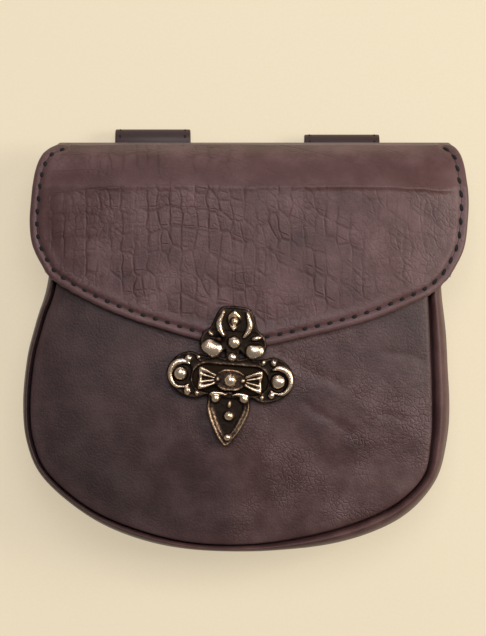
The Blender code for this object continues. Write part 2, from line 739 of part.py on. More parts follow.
def build_turn_bow(material):
    """The bow with its ball and the post that it turns on, standing on the joint's axis."""
    right = [(row.u * BOW_REACH, row.v * BOW_REACH) for row in BOW_OUTLINE]
    quarter = right[1:]
    outline = [right[0]] + quarter + [(u, -v) for u, v in reversed(quarter)]
    outline += [(0.0, -right[0][1])] + [(-u, -v) for u, v in quarter] + [(-u, v) for u, v in reversed(quarter)]
    top = BOW_UNDER + BOW_THICK
    wing = (0.36 * BOW_REACH, 0.23 * BOW_REACH, 1.0 * BOW_THICK)
    parts = [dome(side * 0.56 * BOW_REACH, 0.0, top - 0.5 * BOW_THICK, wing) for side in (1, -1)]
    middle = (0.43 * BOW_REACH, 0.29 * BOW_REACH, 1.3 * BOW_THICK)
    parts.append(dome(0.0, 0.0, top - 0.4 * BOW_THICK, middle, turn=7.0))
    parts.append(ball(top + 0.4 * BALL_RADIUS, BALL_RADIUS))
    foot = -room_under_clasp() + LAY_GAP + SEAM_GAP
    parts.append(drum(POST_RADIUS, foot, BOW_UNDER + 0.5 * BOW_THICK, sides=12))
    bow = combined("turn_bow", prism(outline, BOW_UNDER, top), parts, material)
    bow.matrix_world = clasp_frame()
    return bow


def build_turn_base(material):
    """The rose on the front panel, with the hole that the bow's post turns in."""
    low = -room_under_clasp() + LAY_GAP
    high = -LAY_GAP
    edge = 0.3 * (high - low)
    profile = [(POST_RADIUS + SEAM_GAP, low), (BASE_RADIUS, low), (BASE_RADIUS, high - edge)]
    profile += [(BASE_RADIUS - 2 * edge, high), (POST_RADIUS + SEAM_GAP, high)]
    sides = 20
    bm = bmesh.new()
    rings = []
    for a in np.arange(sides) * 2 * math.pi / sides:
        rings.append([bm.verts.new((r * math.cos(a), r * math.sin(a), w)) for r, w in profile])
    for i in range(sides):
        for j in range(len(profile)):
            k, m = (i + 1) % sides, (j + 1) % len(profile)
            bm.faces.new((rings[i][j], rings[k][j], rings[k][m], rings[i][m]))
    base = new_object("turn_base", bm, material)
    base.matrix_world = clasp_frame()
    return base


def main():
    for obj in list(bpy.data.objects):
        bpy.data.objects.remove(obj)
    hide = {name: make_material("leather_" + name, colour, 0.55, 0.0) for name, colour in LEATHER.items()}
    brass = make_material("old_brass", BRASS, 0.4, 1.0)
    build_front_panel(hide["front"])
    build_gusset(hide["gusset"])
    build_back_panel(hide["back"])
    build_flap(hide["flap"])
    for name, side, stand in (("belt_loop_left", -1, LEFT_STAND), ("belt_loop_right", 1, RIGHT_STAND)):
        build_loop(name, LOOP_CENTRE + side * LOOP_REACH, stand, hide["loop"])
    build_clasp_plate(brass)
    build_turn_bow(brass)
    build_turn_base(brass)


main()
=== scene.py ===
# %% [markdown]
# # A leather belt bag with a cast brass clasp
# This lesson dresses a belt bag that lies on its back. The construction model gives fixed solids at
# their real size: the domed front, the side strip, the back, the flap, two belt loops and a brass
# turn clasp. Here each solid gets the surface that the eye expects: turned seams, a hand-stitched
# edge, creased hide and worn cast brass. Loading the frame first means that nothing has to be
# fitted afterwards, because every size below is in the same metres.

# %% Load the fixed frame
import math

import bmesh
import bpy
import numpy as np
from mathutils import Matrix, Vector
from mathutils.bvhtree import BVHTree


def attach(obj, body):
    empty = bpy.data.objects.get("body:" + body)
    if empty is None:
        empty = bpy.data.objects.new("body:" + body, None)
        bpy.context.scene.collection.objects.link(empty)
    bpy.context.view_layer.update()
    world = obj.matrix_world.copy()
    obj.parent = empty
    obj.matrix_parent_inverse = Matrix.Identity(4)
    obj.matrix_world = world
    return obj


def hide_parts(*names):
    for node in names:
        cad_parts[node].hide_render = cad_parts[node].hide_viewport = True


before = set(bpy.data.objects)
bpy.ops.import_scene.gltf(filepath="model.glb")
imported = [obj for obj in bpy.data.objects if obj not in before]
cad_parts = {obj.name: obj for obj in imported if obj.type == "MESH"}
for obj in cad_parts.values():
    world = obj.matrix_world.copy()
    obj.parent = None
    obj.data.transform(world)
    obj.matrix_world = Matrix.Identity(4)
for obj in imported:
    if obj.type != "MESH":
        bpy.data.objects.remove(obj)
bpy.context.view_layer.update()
MM = 0.001


def new_object(name, data):
    """An object at the origin of the scene."""
    obj = bpy.data.objects.new(name, data)
    bpy.context.scene.collection.objects.link(obj)
    return obj


# %% [markdown]
# ## The camera, the floor and the light
# The photograph looks straight down on the bag. A lens close to the bag would show its sides, so the
# camera stands more than a metre away and the lens is long. The floor is plain pale card. The light
# comes from three soft boxes, as in a product photo: the key at the right, a broad one nearly
# overhead, and a weak cool one past the bag's top edge. The left side goes dark but not black.

# %% Camera
VIEW_WIDTH = 201.8 * MM
VIEW_CENTRE = (-0.85 * MM, 8.9 * MM)
FLAP_LEVEL = 40 * MM
CAMERA_RISE = 1.25
SENSOR = 36.0

camera_data = bpy.data.cameras.new("camera")
camera_data.sensor_fit = "HORIZONTAL"
camera_data.sensor_width = SENSOR
camera_data.lens = SENSOR * CAMERA_RISE / VIEW_WIDTH
camera = new_object("camera", camera_data)
camera.location = (*VIEW_CENTRE, FLAP_LEVEL + CAMERA_RISE)
bpy.context.scene.camera = camera
bpy.context.scene.view_settings.view_transform = "Standard"
print("lens in mm:", round(camera_data.lens, 1))


# %% [markdown]
# ## Small helpers for materials
# Colours are written as the sRGB hex values that a designer reads off a swatch, and one function
# turns them into the linear numbers that shaders need. A second function adds a node, sets its
# values and makes its links, so that each material below reads as a list of what it is made of.
# A third one sets or joins the inputs of a shader by their names.

# %% Colour and node helpers
def linear(hex_colour):
    """Linear red, green, blue and alpha of an sRGB hex colour."""
    parts = [int(hex_colour[i : i + 2], 16) / 255 for i in (1, 3, 5)]
    return (*[c / 12.92 if c <= 0.04045 else ((c + 0.055) / 1.055) ** 2.4 for c in parts], 1.0)


def add(tree, kind, links=None, **settings):
    """Add a node to a tree. A setting names a property, or an input when the node has no such
    property, and links joins sockets to inputs, both by name or by number."""
    node = tree.nodes.new(kind)
    for name, value in settings.items():
        if hasattr(node, name):
            setattr(node, name, value)
        else:
            node.inputs[name.replace("_", " ")].default_value = value
    for name, source in (links or {}).items():
        if isinstance(source, (int, float)):
            node.inputs[name].default_value = source
        else:
            tree.links.new(source, node.inputs[name])
    return node


def ramp(tree, factor, stops):
    """A colour ramp through (place, hex colour) stops."""
    node = add(tree, "ShaderNodeValToRGB", {"Fac": factor})
    bar = node.color_ramp
    while len(bar.elements) < len(stops):
        bar.elements.new(0.5)
    for element, (place, colour) in zip(bar.elements, stops):
        element.position = place
        element.color = linear(colour)
    return node.outputs["Color"]


def tune(shader, **values):
    """Set the named inputs of a shader, or join them to sockets."""
    for name, value in values.items():
        target = shader.inputs[name.replace("_", " ")]
        if isinstance(value, bpy.types.NodeSocket):
            shader.id_data.links.new(value, target)
        else:
            target.default_value = value


def new_material(name):
    """An empty material with its Principled shader."""
    material = bpy.data.materials.new(name)
    material.use_nodes = True
    return material, material.node_tree, material.node_tree.nodes["Principled BSDF"]


# %% Floor and light
# The card lies on a light table, so it glows a little and shadows on it stay soft
FLOOR_HALF, FLOOR_LEVEL = 3.0, -0.2 * MM
card, card_tree, card_shader = new_material("pale_card")
place = add(card_tree, "ShaderNodeTexCoord").outputs["Object"]
fibre = add(card_tree, "ShaderNodeTexNoise", {"Vector": place}, Scale=900.0, Detail=2.0).outputs["Fac"]
card_tone = ramp(card_tree, fibre, [(0.35, "#968D79"), (0.65, "#99907C")])
tune(card_shader, Base_Color=card_tone, Roughness=0.9, Specular_IOR_Level=0.2)
tune(card_shader, Emission_Color=linear("#EBDCBF"), Emission_Strength=0.66)

floor_mesh = bpy.data.meshes.new("floor")
corners = [(a * FLOOR_HALF, b * FLOOR_HALF, FLOOR_LEVEL) for a, b in ((-1, -1), (1, -1), (1, 1), (-1, 1))]
floor_mesh.from_pydata(corners, [], [(0, 1, 2, 3)])
floor_mesh.materials.append(card)
floor = new_object("floor", floor_mesh)


def soft_box(name, place, aim, size, watts, colour):
    """A square area light that looks at a point."""
    data = bpy.data.lights.new(name, "AREA")
    data.shape = "RECTANGLE"
    data.size, data.size_y = size
    data.energy = watts
    data.color = linear(colour)[:3]
    light = new_object(name, data)
    light.location = place
    light.rotation_euler = (Vector(aim) - Vector(place)).to_track_quat("-Z", "Y").to_euler()


soft_box("sky", (-0.10, 1.50, 0.55), (0.0, 0.0, 0.03), (0.9, 0.5), 3.2, "#DCDDF8")
soft_box("key", (1.05, 0.20, 0.75), (0.0, 0.0, 0.03), (0.55, 0.55), 12.0, "#FFF8F0")
soft_box("top", (0.08, 0.50, 1.35), (0.0, 0.0, 0.0), (0.7, 0.7), 10.0, "#F9F7FD")
world = bpy.data.worlds.new("studio")
world.use_nodes = True
tune(world.node_tree.nodes["Background"], Color=linear("#F2F0F4"), Strength=0.22)
bpy.context.scene.world = world


# %% [markdown]
# ## Curves and surfaces from short tables
# A bag maker cuts from a pattern: a few measured points joined by fair curves. The same idea works
# in code. A short table of shares gives the outline, a Catmull-Rom curve makes it fair, and points
# are read off it at even steps. Sizes are those of the construction model.

# %% Curve helpers
def between(a, b, c, d, steps):
    """Points of a Catmull-Rom curve from b up to c. a and d are the neighbours of b and c."""
    t = (np.arange(steps) / steps)[:, None]
    square, cube = (2 * a - 5 * b + 4 * c - d) * t**2, (3 * b - a - 3 * c + d) * t**3
    return 0.5 * (2 * b + (c - a) * t + square + cube)


def smooth_path(points, steps=24):
    """A fair curve through rows of numbers, the first two of them x and y."""
    rows = np.array(points, dtype=float)
    rows = np.vstack([2 * rows[0] - rows[1], rows, 2 * rows[-1] - rows[-2]])
    curve = [between(*rows[i - 1 : i + 3], steps) for i in range(1, len(rows) - 2)]
    return np.vstack(curve + [rows[-2:-1]])


def path_length(path):
    """Length so far at each point of a path."""
    return np.concatenate([[0.0], np.cumsum(np.linalg.norm(np.diff(path[:, :2], axis=0), axis=1))])


def along(path, shares):
    """Rows of a path at shares of its length."""
    length = path_length(path)
    return np.column_stack([np.interp(np.asarray(shares) * length[-1], length, column) for column in path.T])


def outward(path):
    """Unit normals of a path that runs anticlockwise round what it bounds."""
    tangent = np.gradient(path[:, :2], axis=0)
    normal = np.column_stack([tangent[:, 1], -tangent[:, 0]])
    return normal / np.linalg.norm(normal, axis=1)[:, None]


def ease(t):
    """A smooth rise from 0 at 0 to 1 at 1."""
    t = np.clip(t, 0.0, 1.0)
    return t * t * (3 - 2 * t)


WAVE_CELLS, WAVE_START = 64, (31.7, 17.3)


def wander(x, y, size, seed):
    """Smooth waves between -1 and 1 about as long as size, the same on each run."""
    rng = np.random.default_rng(seed)
    turn = rng.uniform(0, 2 * math.pi, (WAVE_CELLS, WAVE_CELLS))
    gx, gy = np.cos(turn), np.sin(turn)
    px, py = np.asarray(x) / size + WAVE_START[0], np.asarray(y) / size + WAVE_START[1]
    ix, iy = np.floor(px).astype(int), np.floor(py).astype(int)
    fx, fy = px - ix, py - iy
    total = 0.0
    for dx in (0, 1):
        for dy in (0, 1):
            k, m = (ix + dx) % WAVE_CELLS, (iy + dy) % WAVE_CELLS
            share = ease(1 - abs(fx - dx)) * ease(1 - abs(fy - dy))
            total = total + share * (gx[k, m] * (fx - dx) + gy[k, m] * (fy - dy))
    return total * 1.5


def waves(x, y, rows):
    """Sum of smooth waves, each row with a height and a length in mm and a seed."""
    return sum(high * MM * wander(x, y, long * MM, seed) for high, long, seed in rows)


# %% The pouch's outline and its swell
POUCH_WIDTH, POUCH_HEIGHT, POUCH_DEPTH = 180.0 * MM, 170.5 * MM, 34.0 * MM
POUCH_BOTTOM, POUCH_CENTRE = -89.6 * MM, -3.6 * MM
SEAM_GAP, LAY_GAP = 0.3 * MM, 0.6 * MM
FRONT_WALL, BACK_WALL, FLAP_WALL, LOOP_WALL = 2.0 * MM, 2.2 * MM, 2.6 * MM, 2.6 * MM
FRONT_SWELL, BELLY_SWELL, GROOVE_DEPTH = 6.0 * MM, 1.6 * MM, 2.0 * MM
BACK_SEAM_INSET, MOUTH_DROP, FOLD_RADIUS = 6.0 * MM, 18.0 * MM, 5.0 * MM
POUCH_TOP = POUCH_BOTTOM + POUCH_HEIGHT
MOUTH_Y = POUCH_TOP - MOUTH_DROP
FLAP_TOP = POUCH_TOP + FLAP_WALL - SEAM_GAP
BACK_TOP = FLAP_TOP - FOLD_RADIUS
SIDE_PULL = 0.6

# Each row: across as a share of the width, up as a share of the height, and how far in the front
# seam lies as a share of the depth
POUCH_OUTLINE = [
    (-0.411, 1.000, 0.100), (-0.422, 0.831, 0.095), (-0.443, 0.665, 0.095), (-0.470, 0.565, 0.095),
    (-0.490, 0.481, 0.095), (-0.500, 0.371, 0.095), (-0.492, 0.272, 0.095), (-0.453, 0.183, 0.095),
    (-0.354, 0.093, 0.100), (-0.241, 0.036, 0.115), (-0.109, 0.006, 0.095), (0.032, 0.000, 0.095),
    (0.178, 0.010, 0.155), (0.305, 0.041, 0.195), (0.401, 0.096, 0.180), (0.468, 0.177, 0.165),
    (0.493, 0.272, 0.195), (0.500, 0.376, 0.215), (0.493, 0.520, 0.200), (0.481, 0.650, 0.165),
    (0.474, 0.831, 0.150), (0.465, 1.000, 0.140),
]


def pouch_stations(count):
    """The outline as x, y and seam inset at even steps, with its normals."""
    rows = [
        (POUCH_CENTRE + across * POUCH_WIDTH, POUCH_BOTTOM + up * POUCH_HEIGHT, inset * POUCH_DEPTH)
        for across, up, inset in POUCH_OUTLINE
    ]
    path = along(smooth_path(rows), np.linspace(0.0, 1.0, count))
    return path, outward(path)


def pulled_to(path, top):
    """The outline with its two upper ends moved to another height."""
    side = POUCH_BOTTOM + SIDE_PULL * POUCH_HEIGHT
    moved = path.copy()
    high = path[:, 1] > side
    moved[high, 1] = side + (path[high, 1] - side) * (top - side) / (POUCH_TOP - side)
    return moved


def front_seam(count):
    """Stations of the groove between the front panel and the side strip."""
    path, normal = pouch_stations(count)
    path = pulled_to(path, MOUTH_Y)
    return path[:, :2] - normal * path[:, 2:3], normal


SEAM_LINE, _ = front_seam(400)
SEAM_MIDDLE = (SEAM_LINE[0, 0] + SEAM_LINE[-1, 0]) / 2
SEAM_TURN = np.arctan2(-np.abs(SEAM_LINE[:, 1] - MOUTH_Y), SEAM_LINE[:, 0] - SEAM_MIDDLE)
SEAM_TURN = np.where(SEAM_TURN > 0, -SEAM_TURN, SEAM_TURN)
SEAM_REACH = np.hypot(SEAM_LINE[:, 0] - SEAM_MIDDLE, SEAM_LINE[:, 1] - MOUTH_Y)
SEAM_ORDER = np.argsort(SEAM_TURN)
SWELL_POWER = 3.2
BELLY_LEVEL = 0.33 * POUCH_HEIGHT
BELLY_HALF_WIDTH, BELLY_HALF_HEIGHT = 0.33 * POUCH_WIDTH, 0.3 * POUCH_HEIGHT


def pillow_height(x, y):
    """Height of the swell that the front and the flap follow."""
    dx = np.asarray(x) - SEAM_MIDDLE
    dy = np.minimum(np.asarray(y) - MOUTH_Y, -1e-9)
    reach = np.interp(np.arctan2(dy, dx), SEAM_TURN[SEAM_ORDER], SEAM_REACH[SEAM_ORDER])
    radius = np.hypot(dx, dy) / reach
    rise = np.asarray(y) - POUCH_BOTTOM - BELLY_LEVEL
    belly = np.hypot(dx / BELLY_HALF_WIDTH, rise / BELLY_HALF_HEIGHT)
    return POUCH_DEPTH + FRONT_SWELL * (1 - radius**SWELL_POWER) + BELLY_SWELL * (1 - ease(belly))


print("crown of the front in mm:", round(float(pillow_height(0.0, -20 * MM)) / MM, 1))


# %% [markdown]
# ## A hide as a closed shell
# Real leather has thickness, and its cut edge catches the light, so a hide is never a single sheet
# of faces here. The helper takes a fine grid for the grain side, rolls its border over in a few
# rings, and closes it with a coarser grid for the flesh side, which nobody sees up close. That
# spends the faces where the camera looks. Each point also gets a flat pattern coordinate in metres,
# so that creases and grain keep their real size round every bend.

# %% Shell helper
EDGE_ROLL, FLESH_STEP = 0.7 * MM, 4


def unit(vectors):
    """The same vectors with length one."""
    return vectors / np.maximum(np.linalg.norm(vectors, axis=-1, keepdims=True), 1e-12)


def inward_normals(grid):
    """Unit normals of a grid that point to the flesh side."""
    normals = unit(np.cross(np.gradient(grid, axis=1), np.gradient(grid, axis=0)))
    for rows, row in ((slice(0, 3), 3), (slice(-3, None), -4)):
        for columns, column in ((slice(0, 3), 3), (slice(-3, None), -4)):
            normals[rows, columns] = normals[row, column]
    return normals


def border(rows, columns, step=1):
    """Grid places round the edge of a grid, in order."""
    way = [(0, j) for j in range(0, columns - 1, step)]
    way += [(i, columns - 1) for i in range(0, rows - 1, step)]
    way += [(rows - 1, j) for j in range(columns - 1, 0, -step)]
    return way + [(i, 0) for i in range(rows - 1, 0, -step)]


def link_mesh(name, points, faces, maps=None, marks=None):
    """An object from points and faces, with flat maps and named values for its points."""
    mesh = bpy.data.meshes.new(name)
    mesh.from_pydata([tuple(p) for p in points], [], faces)
    mesh.update()
    corner = np.zeros(len(mesh.loops), dtype=np.int32)
    mesh.loops.foreach_get("vertex_index", corner)
    for key, flat in (maps or {}).items():
        layer = mesh.uv_layers.new(name=key)
        layer.data.foreach_set("uv", np.asarray(flat, dtype=np.float32)[corner].ravel())
    for key, values in (marks or {}).items():
        attribute = mesh.attributes.new(key, "FLOAT", "POINT")
        attribute.data.foreach_set("value", np.asarray(values, dtype=np.float32))
    mesh.shade_smooth()
    return new_object(name, mesh)


def hide_shell(name, grid, wall, maps, roll=EDGE_ROLL, inner=None, marks=None):
    """A closed hide from the grid of its grain side. maps holds its flat coordinates by name, and
    marks holds named values for its points."""
    step = FLESH_STEP
    rows, columns = grid.shape[:2]
    inward = inward_normals(grid)
    way = border(rows, columns)
    place = np.array([i * columns + j for i, j in way])
    edge, edge_in = grid.reshape(-1, 3)[place], inward.reshape(-1, 3)[place]
    # The edge points away from the nearest point that isn't on it
    neighbour = np.array([min(max(i, 1), rows - 2) * columns + min(max(j, 1), columns - 2) for i, j in way])
    tangent = unit(np.roll(edge, -1, axis=0) - np.roll(edge, 1, axis=0))
    out = np.cross(tangent, edge_in)
    out *= np.sign(np.sum(out * (edge - grid.reshape(-1, 3)[neighbour]), axis=1))[:, None]
    out = unit(out)
    rings = []
    for turn in np.radians([30, 60, 90]):
        rings.append(edge + out * (roll * math.sin(turn)) + edge_in * (roll * (1 - math.cos(turn))))
    rings.append(edge + out * roll + edge_in * (wall - roll))
    rings.append(edge + out * (0.5 * roll) + edge_in * (wall - 0.13 * roll))
    if inner is None:
        inner = grid[::step, ::step] + inward[::step, ::step] * wall
    low_rows, low_columns = inner.shape[:2]
    points = np.vstack([grid.reshape(-1, 3)] + rings + [inner.reshape(-1, 3)])
    spread = {}
    for key, flat in maps.items():
        flats = flat.reshape(-1, 2)
        coarse = flat[::step, ::step].reshape(-1, 2)
        spread[key] = np.vstack([flats] + [flats[place]] * len(rings) + [coarse])
    a = (np.arange(rows - 1)[:, None] * columns + np.arange(columns - 1)).ravel()
    faces = np.column_stack([a, a + columns, a + columns + 1, a + 1]).tolist()
    count = len(way)
    start = rows * columns
    loops = [place] + [start + k * count + np.arange(count) for k in range(len(rings))]
    for upper, lower in zip(loops, loops[1:]):
        faces += np.column_stack([upper, np.roll(upper, -1), np.roll(lower, -1), lower]).tolist()
    base = start + len(rings) * count
    b = (base + np.arange(low_rows - 1)[:, None] * low_columns + np.arange(low_columns - 1)).ravel()
    faces += np.column_stack([b, b + 1, b + low_columns + 1, b + low_columns]).tolist()
    low_way = [base + i * low_columns + j for i, j in border(low_rows, low_columns)]
    last = loops[-1]
    for k, corner in enumerate(low_way):
        fine = [int(last[(k * step + m) % count]) for m in range(step + 1)]
        faces.append(fine + [low_way[(k + 1) % len(low_way)], corner])
    values = {}
    for key, field in (marks or {}).items():
        ring = field.ravel()[place]
        unmarked = np.zeros(low_rows * low_columns)
        values[key] = np.concatenate([field.ravel()] + [ring] * len(rings) + [unmarked])
    obj = link_mesh(name, points, faces, spread, values)
    print(name, "has", sum(len(f) - 2 for f in faces), "triangles")
    return obj


# %% [markdown]
# ## The front panel
# The front is one hide, stretched into a low dome by what the bag has carried. Its edge dives into
# the turned seam, and loose diagonal wrinkles run from the clasp to the lower right. A grid that
# fans out from the mouth follows the seam all the way round, so the roll at the edge stays even.
# The wrinkles are moved points, not only shading, because low light shows their height.

# %% Front panel
FRONT_COLUMNS, FRONT_ROWS = 385, 169
FAN_MOUTH, FAN_POWER = 0.42, 1.25
ROLL_WIDTH = 3.0 * MM
seam, seam_normal = front_seam(FRONT_COLUMNS)
front_edge = seam - seam_normal * (SEAM_GAP + EDGE_ROLL)
mouth_half = FAN_MOUTH * (front_edge[-1, 0] - front_edge[0, 0]) / 2
share = np.linspace(0.0, 1.0, FRONT_COLUMNS)
mouth_x = SEAM_MIDDLE + mouth_half * (2 * share - 1)
mouth = np.column_stack([mouth_x, np.full(FRONT_COLUMNS, MOUTH_Y - EDGE_ROLL)])
front_edge[:, 1] = np.minimum(front_edge[:, 1], MOUTH_Y - EDGE_ROLL)
down = (1 - (1 - np.linspace(0.0, 1.0, FRONT_ROWS)) ** FAN_POWER)[:, None, None]
plan = (1 - down) * mouth + down * front_edge
across, level = plan[..., 0], plan[..., 1]
reach_in = np.linalg.norm(plan - plan[-1], axis=2)
# The edge dives deeper into its seam at the right than at the left
roll_share = 0.12 + 0.4 * ease((across + 30 * MM) / (60 * MM))
roll_in = roll_share * GROOVE_DEPTH * (1 - np.sqrt(1 - np.clip(1 - reach_in / ROLL_WIDTH, 0, 1) ** 2))

# Folds that run from the clasp to the lower right: both ends, half width and depth in mm
FRONT_FOLDS = [
    (12.0, -4.0, 26.0, -12.5, 2.7, 0.45), (21.9, -11.0, 42.0, -20.5, 2.6, 0.55),
    (24.0, -25.0, 33.0, -33.5, 2.4, 0.32), (30.0, -31.0, 47.0, -40.5, 2.2, 0.38),
    (54.0, -31.0, 69.0, -33.0, 2.0, 0.36), (53.0, -4.5, 77.0, -9.5, 2.0, 0.20),
    (44.0, -22.0, 58.0, -27.0, 2.4, 0.18), (-29.0, -24.0, -12.0, -24.5, 1.2, 0.20),
    (-20.0, -33.0, -6.0, -35.0, 1.6, 0.18),
]
FOLD_FADE = 0.15


def fold_depth(x, y, folds):
    """Depth of soft straight folds, fading out at their ends."""
    depth = np.zeros(np.shape(x))
    for x0, y0, x1, y1, half, deep in folds:
        dx, dy = (x1 - x0) * MM, (y1 - y0) * MM
        t = ((x - x0 * MM) * dx + (y - y0 * MM) * dy) / (dx * dx + dy * dy)
        away = ((x - x0 * MM) * dy - (y - y0 * MM) * dx) / math.hypot(dx, dy) + waves(x, y, [(1.2, 9, 41)])
        ends = ease((t + FOLD_FADE) / 0.4) * ease((1 + FOLD_FADE - t) / 0.4)
        depth += deep * MM * np.exp(-((away / (half * MM)) ** 2)) * ends
    return depth


def front_shape(x, y):
    """Height of the loose folds, dents and creases of the front."""
    soft = waves(x, y, [(0.25, 36, 5), (0.10, 14, 6)])
    # The hide is loose at the right, where a web of fine lines runs the way of the folds
    loose = ease((x + 5 * MM) / (40 * MM)) * (0.35 + 0.65 * ease((wander(x, y, 30 * MM, 7) + 0.4) / 0.8))
    turned_x, turned_y = x * 0.80 - y * 0.60, x * 0.60 + y * 0.80
    web = np.abs(wander(turned_x / 1.7, turned_y, 3.4 * MM, 8))
    web = web + 0.6 * np.abs(wander(turned_x, turned_y / 1.4, 2.3 * MM, 9))
    sag = -0.5 * MM * np.exp(-(((x - 8 * MM) / (40 * MM)) ** 2) - ((y + 62 * MM) / (14 * MM)) ** 2)
    return soft + sag + 0.16 * MM * loose * (np.minimum(web, 0.6) - 0.3) - fold_depth(x, y, FRONT_FOLDS)


fade = ease(reach_in / (8 * MM))
height = pillow_height(across, level) - roll_in + fade * front_shape(across, level)
front_grid = np.dstack([plan, height])
# Painted shade: the colour is darker at the left, in the lower left corner and at the upper right, and less
# dark at the lower right
dim = 0.15 + 0.62 * ease((10 * MM - across) / (90 * MM))
dim += 0.35 * ease((-level - 20 * MM) / (50 * MM)) * ease(-across / (10 * MM))
dim += 0.45 * ease((across - 40 * MM) / (30 * MM)) * ease((level + 30 * MM) / (30 * MM))
dim -= 0.15 * ease((across - 10 * MM) / (30 * MM)) * ease((-level - 30 * MM) / (30 * MM))
front_marks = {"edge": 0.4 * (1 - fade), "dim": np.clip(dim, 0, 1)}
front_panel = hide_shell("front_hide", front_grid, FRONT_WALL, {"pattern": plan}, marks=front_marks)


# %% [markdown]
# ## The side strip
# The gusset is a strip sewn inside out to the front and the back and then turned, so it stands proud
# of both seams as a soft round shoulder. Its section is a short table of points, made fair and swept
# round the pouch. The strip is a little slack, so low waves run along it.

# %% Gusset
BELT_GAP, LOOP_LENGTH, LOOP_TAB = 5.0 * MM, 85.0 * MM, 12.0 * MM
LEFT_STAND, RIGHT_STAND = 8.5 * MM, 6.3 * MM
STEP_LENGTH, STEP_LEAD, FLAP_LEG = 12.0 * MM, 6.0 * MM, 25.0 * MM
LOOP_HEIGHT = 2 * LOOP_WALL + BELT_GAP
LOOP_BOTTOM = POUCH_TOP + RIGHT_STAND - LOOP_LENGTH
LEG_END = FLAP_TOP - FLAP_LEG
LEG_BASE = LOOP_HEIGHT + SEAM_GAP

# Where each step of the back ends, how long it is and how far it rises
BACK_STEPS = [
    (LOOP_BOTTOM - STEP_LEAD, STEP_LENGTH, LOOP_WALL + SEAM_GAP),
    (LOOP_BOTTOM + LOOP_TAB + 1.6 * STEP_LENGTH, 1.6 * STEP_LENGTH, LOOP_HEIGHT - LOOP_WALL),
    (LEG_END - STEP_LEAD, STEP_LENGTH, FLAP_WALL + SEAM_GAP),
]


def back_height(y):
    """Height of the back's outer face over the floor."""
    return sum(rise * ease((np.asarray(y) - end + length) / length) for end, length, rise in BACK_STEPS)


# The section from the back seam to the front seam: shares of the back inset and of the rim inset,
# and height as a share of the depth. The last two rows are the seam allowance under the front's edge
GUSSET_SECTION = [
    (1.00, 0.00, 0.045), (0.93, 0.00, 0.010), (0.70, 0.00, 0.000), (0.45, 0.00, 0.012), (0.18, 0.00, 0.100),
    (0.00, 0.00, 0.330), (0.00, 0.04, 0.600), (0.00, 0.16, 0.840), (0.00, 0.34, 0.985), (0.00, 0.60, 1.050),
    (0.00, 0.84, 1.030), (0.00, 0.97, 0.985), (0.00, 1.00, 0.930), (0.00, 1.22, 0.880), (0.00, 1.55, 0.865),
]
GUSSET_STATIONS, GUSSET_STEPS = 449, 5
strip_path, strip_normal = pouch_stations(GUSSET_STATIONS)
strip_run = path_length(strip_path)
seam_level = POUCH_DEPTH - GROOVE_DEPTH
lines = []
for back_share, rim_share, level in GUSSET_SECTION:
    low_share = min(level, 1.0)
    line = pulled_to(strip_path, MOUTH_Y + (BACK_TOP - MOUTH_Y) * math.sqrt(1 - low_share**2))
    base = back_height(line[:, 1])
    inset = back_share * BACK_SEAM_INSET + rim_share * line[:, 2]
    slack = waves(strip_run, np.full_like(strip_run, level * 60 * MM), [(0.45, 26, 11)])
    inset = inset - slack * math.sin(math.pi * low_share)
    height = base + (seam_level - base) * level
    lines.append(np.column_stack([line[:, :2] - strip_normal * inset[:, None], height]))
lines = np.array(lines)
section_count = (len(GUSSET_SECTION) - 1) * GUSSET_STEPS + 1
fair = smooth_path(lines.reshape(len(lines), -1), GUSSET_STEPS).reshape(section_count, GUSSET_STATIONS, 3)
section_steps = np.linalg.norm(np.diff(fair, axis=0), axis=2)
run_up = np.cumsum(np.vstack([np.zeros((1, GUSSET_STATIONS)), section_steps]), axis=0)
gusset_flat = np.dstack([np.broadcast_to(strip_run, run_up.shape), run_up])
# The grid is turned end for end when its normals look out of the pouch
SIDE_ROW = 30
to_middle = np.array([POUCH_CENTRE, 0.0, POUCH_DEPTH / 2]) - fair[SIDE_ROW]
if np.mean(np.sum(inward_normals(fair)[SIDE_ROW] * to_middle, axis=1)) < 0:
    fair, gusset_flat = fair[::-1], gusset_flat[::-1]
# The strip is pared thin, because it is folded under at both seams
THIN_WALL, THIN_ROLL = 0.9 * MM, 0.3 * MM
# Painted shade: the strip darkens towards the left, away from the key light
strip_marks = {"dim": 0.75 * ease((-fair[..., 0] - 20 * MM) / (50 * MM)) + 0.2}
maps = {"pattern": gusset_flat}
gusset = hide_shell("gusset_hide", fair, THIN_WALL, maps, roll=THIN_ROLL, marks=strip_marks)


# %% [markdown]
# ## The back panel
# The back lies flat on the floor below and climbs over the two belt loops above. It is made as a
# ladder of rows between the two sides of its seam, so that its edge meets the side strip's edge at
# the same stations.

# %% Back panel
BACK_STATIONS, BACK_COLUMNS, BACK_ROLL = 322, 97, 0.5 * MM
back_path, back_normal = pouch_stations(BACK_STATIONS)
back_path = pulled_to(back_path, BACK_TOP)
back_edge = back_path[:, :2] - back_normal * (BACK_SEAM_INSET + SEAM_GAP + BACK_ROLL)
half = BACK_STATIONS // 2
left_side, right_side = back_edge[:half], back_edge[::-1][:half]
across = np.linspace(0.0, 1.0, BACK_COLUMNS)[None, :, None]
back_plan = left_side[:, None, :] * (1 - across) + right_side[:, None, :] * across
back_grid = np.dstack([back_plan, back_height(back_plan[..., 1])])[:, ::-1]
back_panel = hide_shell("back_hide", back_grid, BACK_WALL, {"pattern": back_plan[:, ::-1]}, roll=BACK_ROLL)


# %% [markdown]
# ## The flap
# The flap is the face of the bag. Its leg is sewn to the back, it turns over a tight fold, climbs in
# a hollow curve to the ridge over the pouch's mouth, and falls to a low point under the clasp. Its
# edge is two layers thick, and the row of stitches pulls a groove between the body of the hide and a
# round rim. Distance to the edge is worked out for every point, and the rim and the groove are
# functions of that distance, so they stay parallel to the outline.

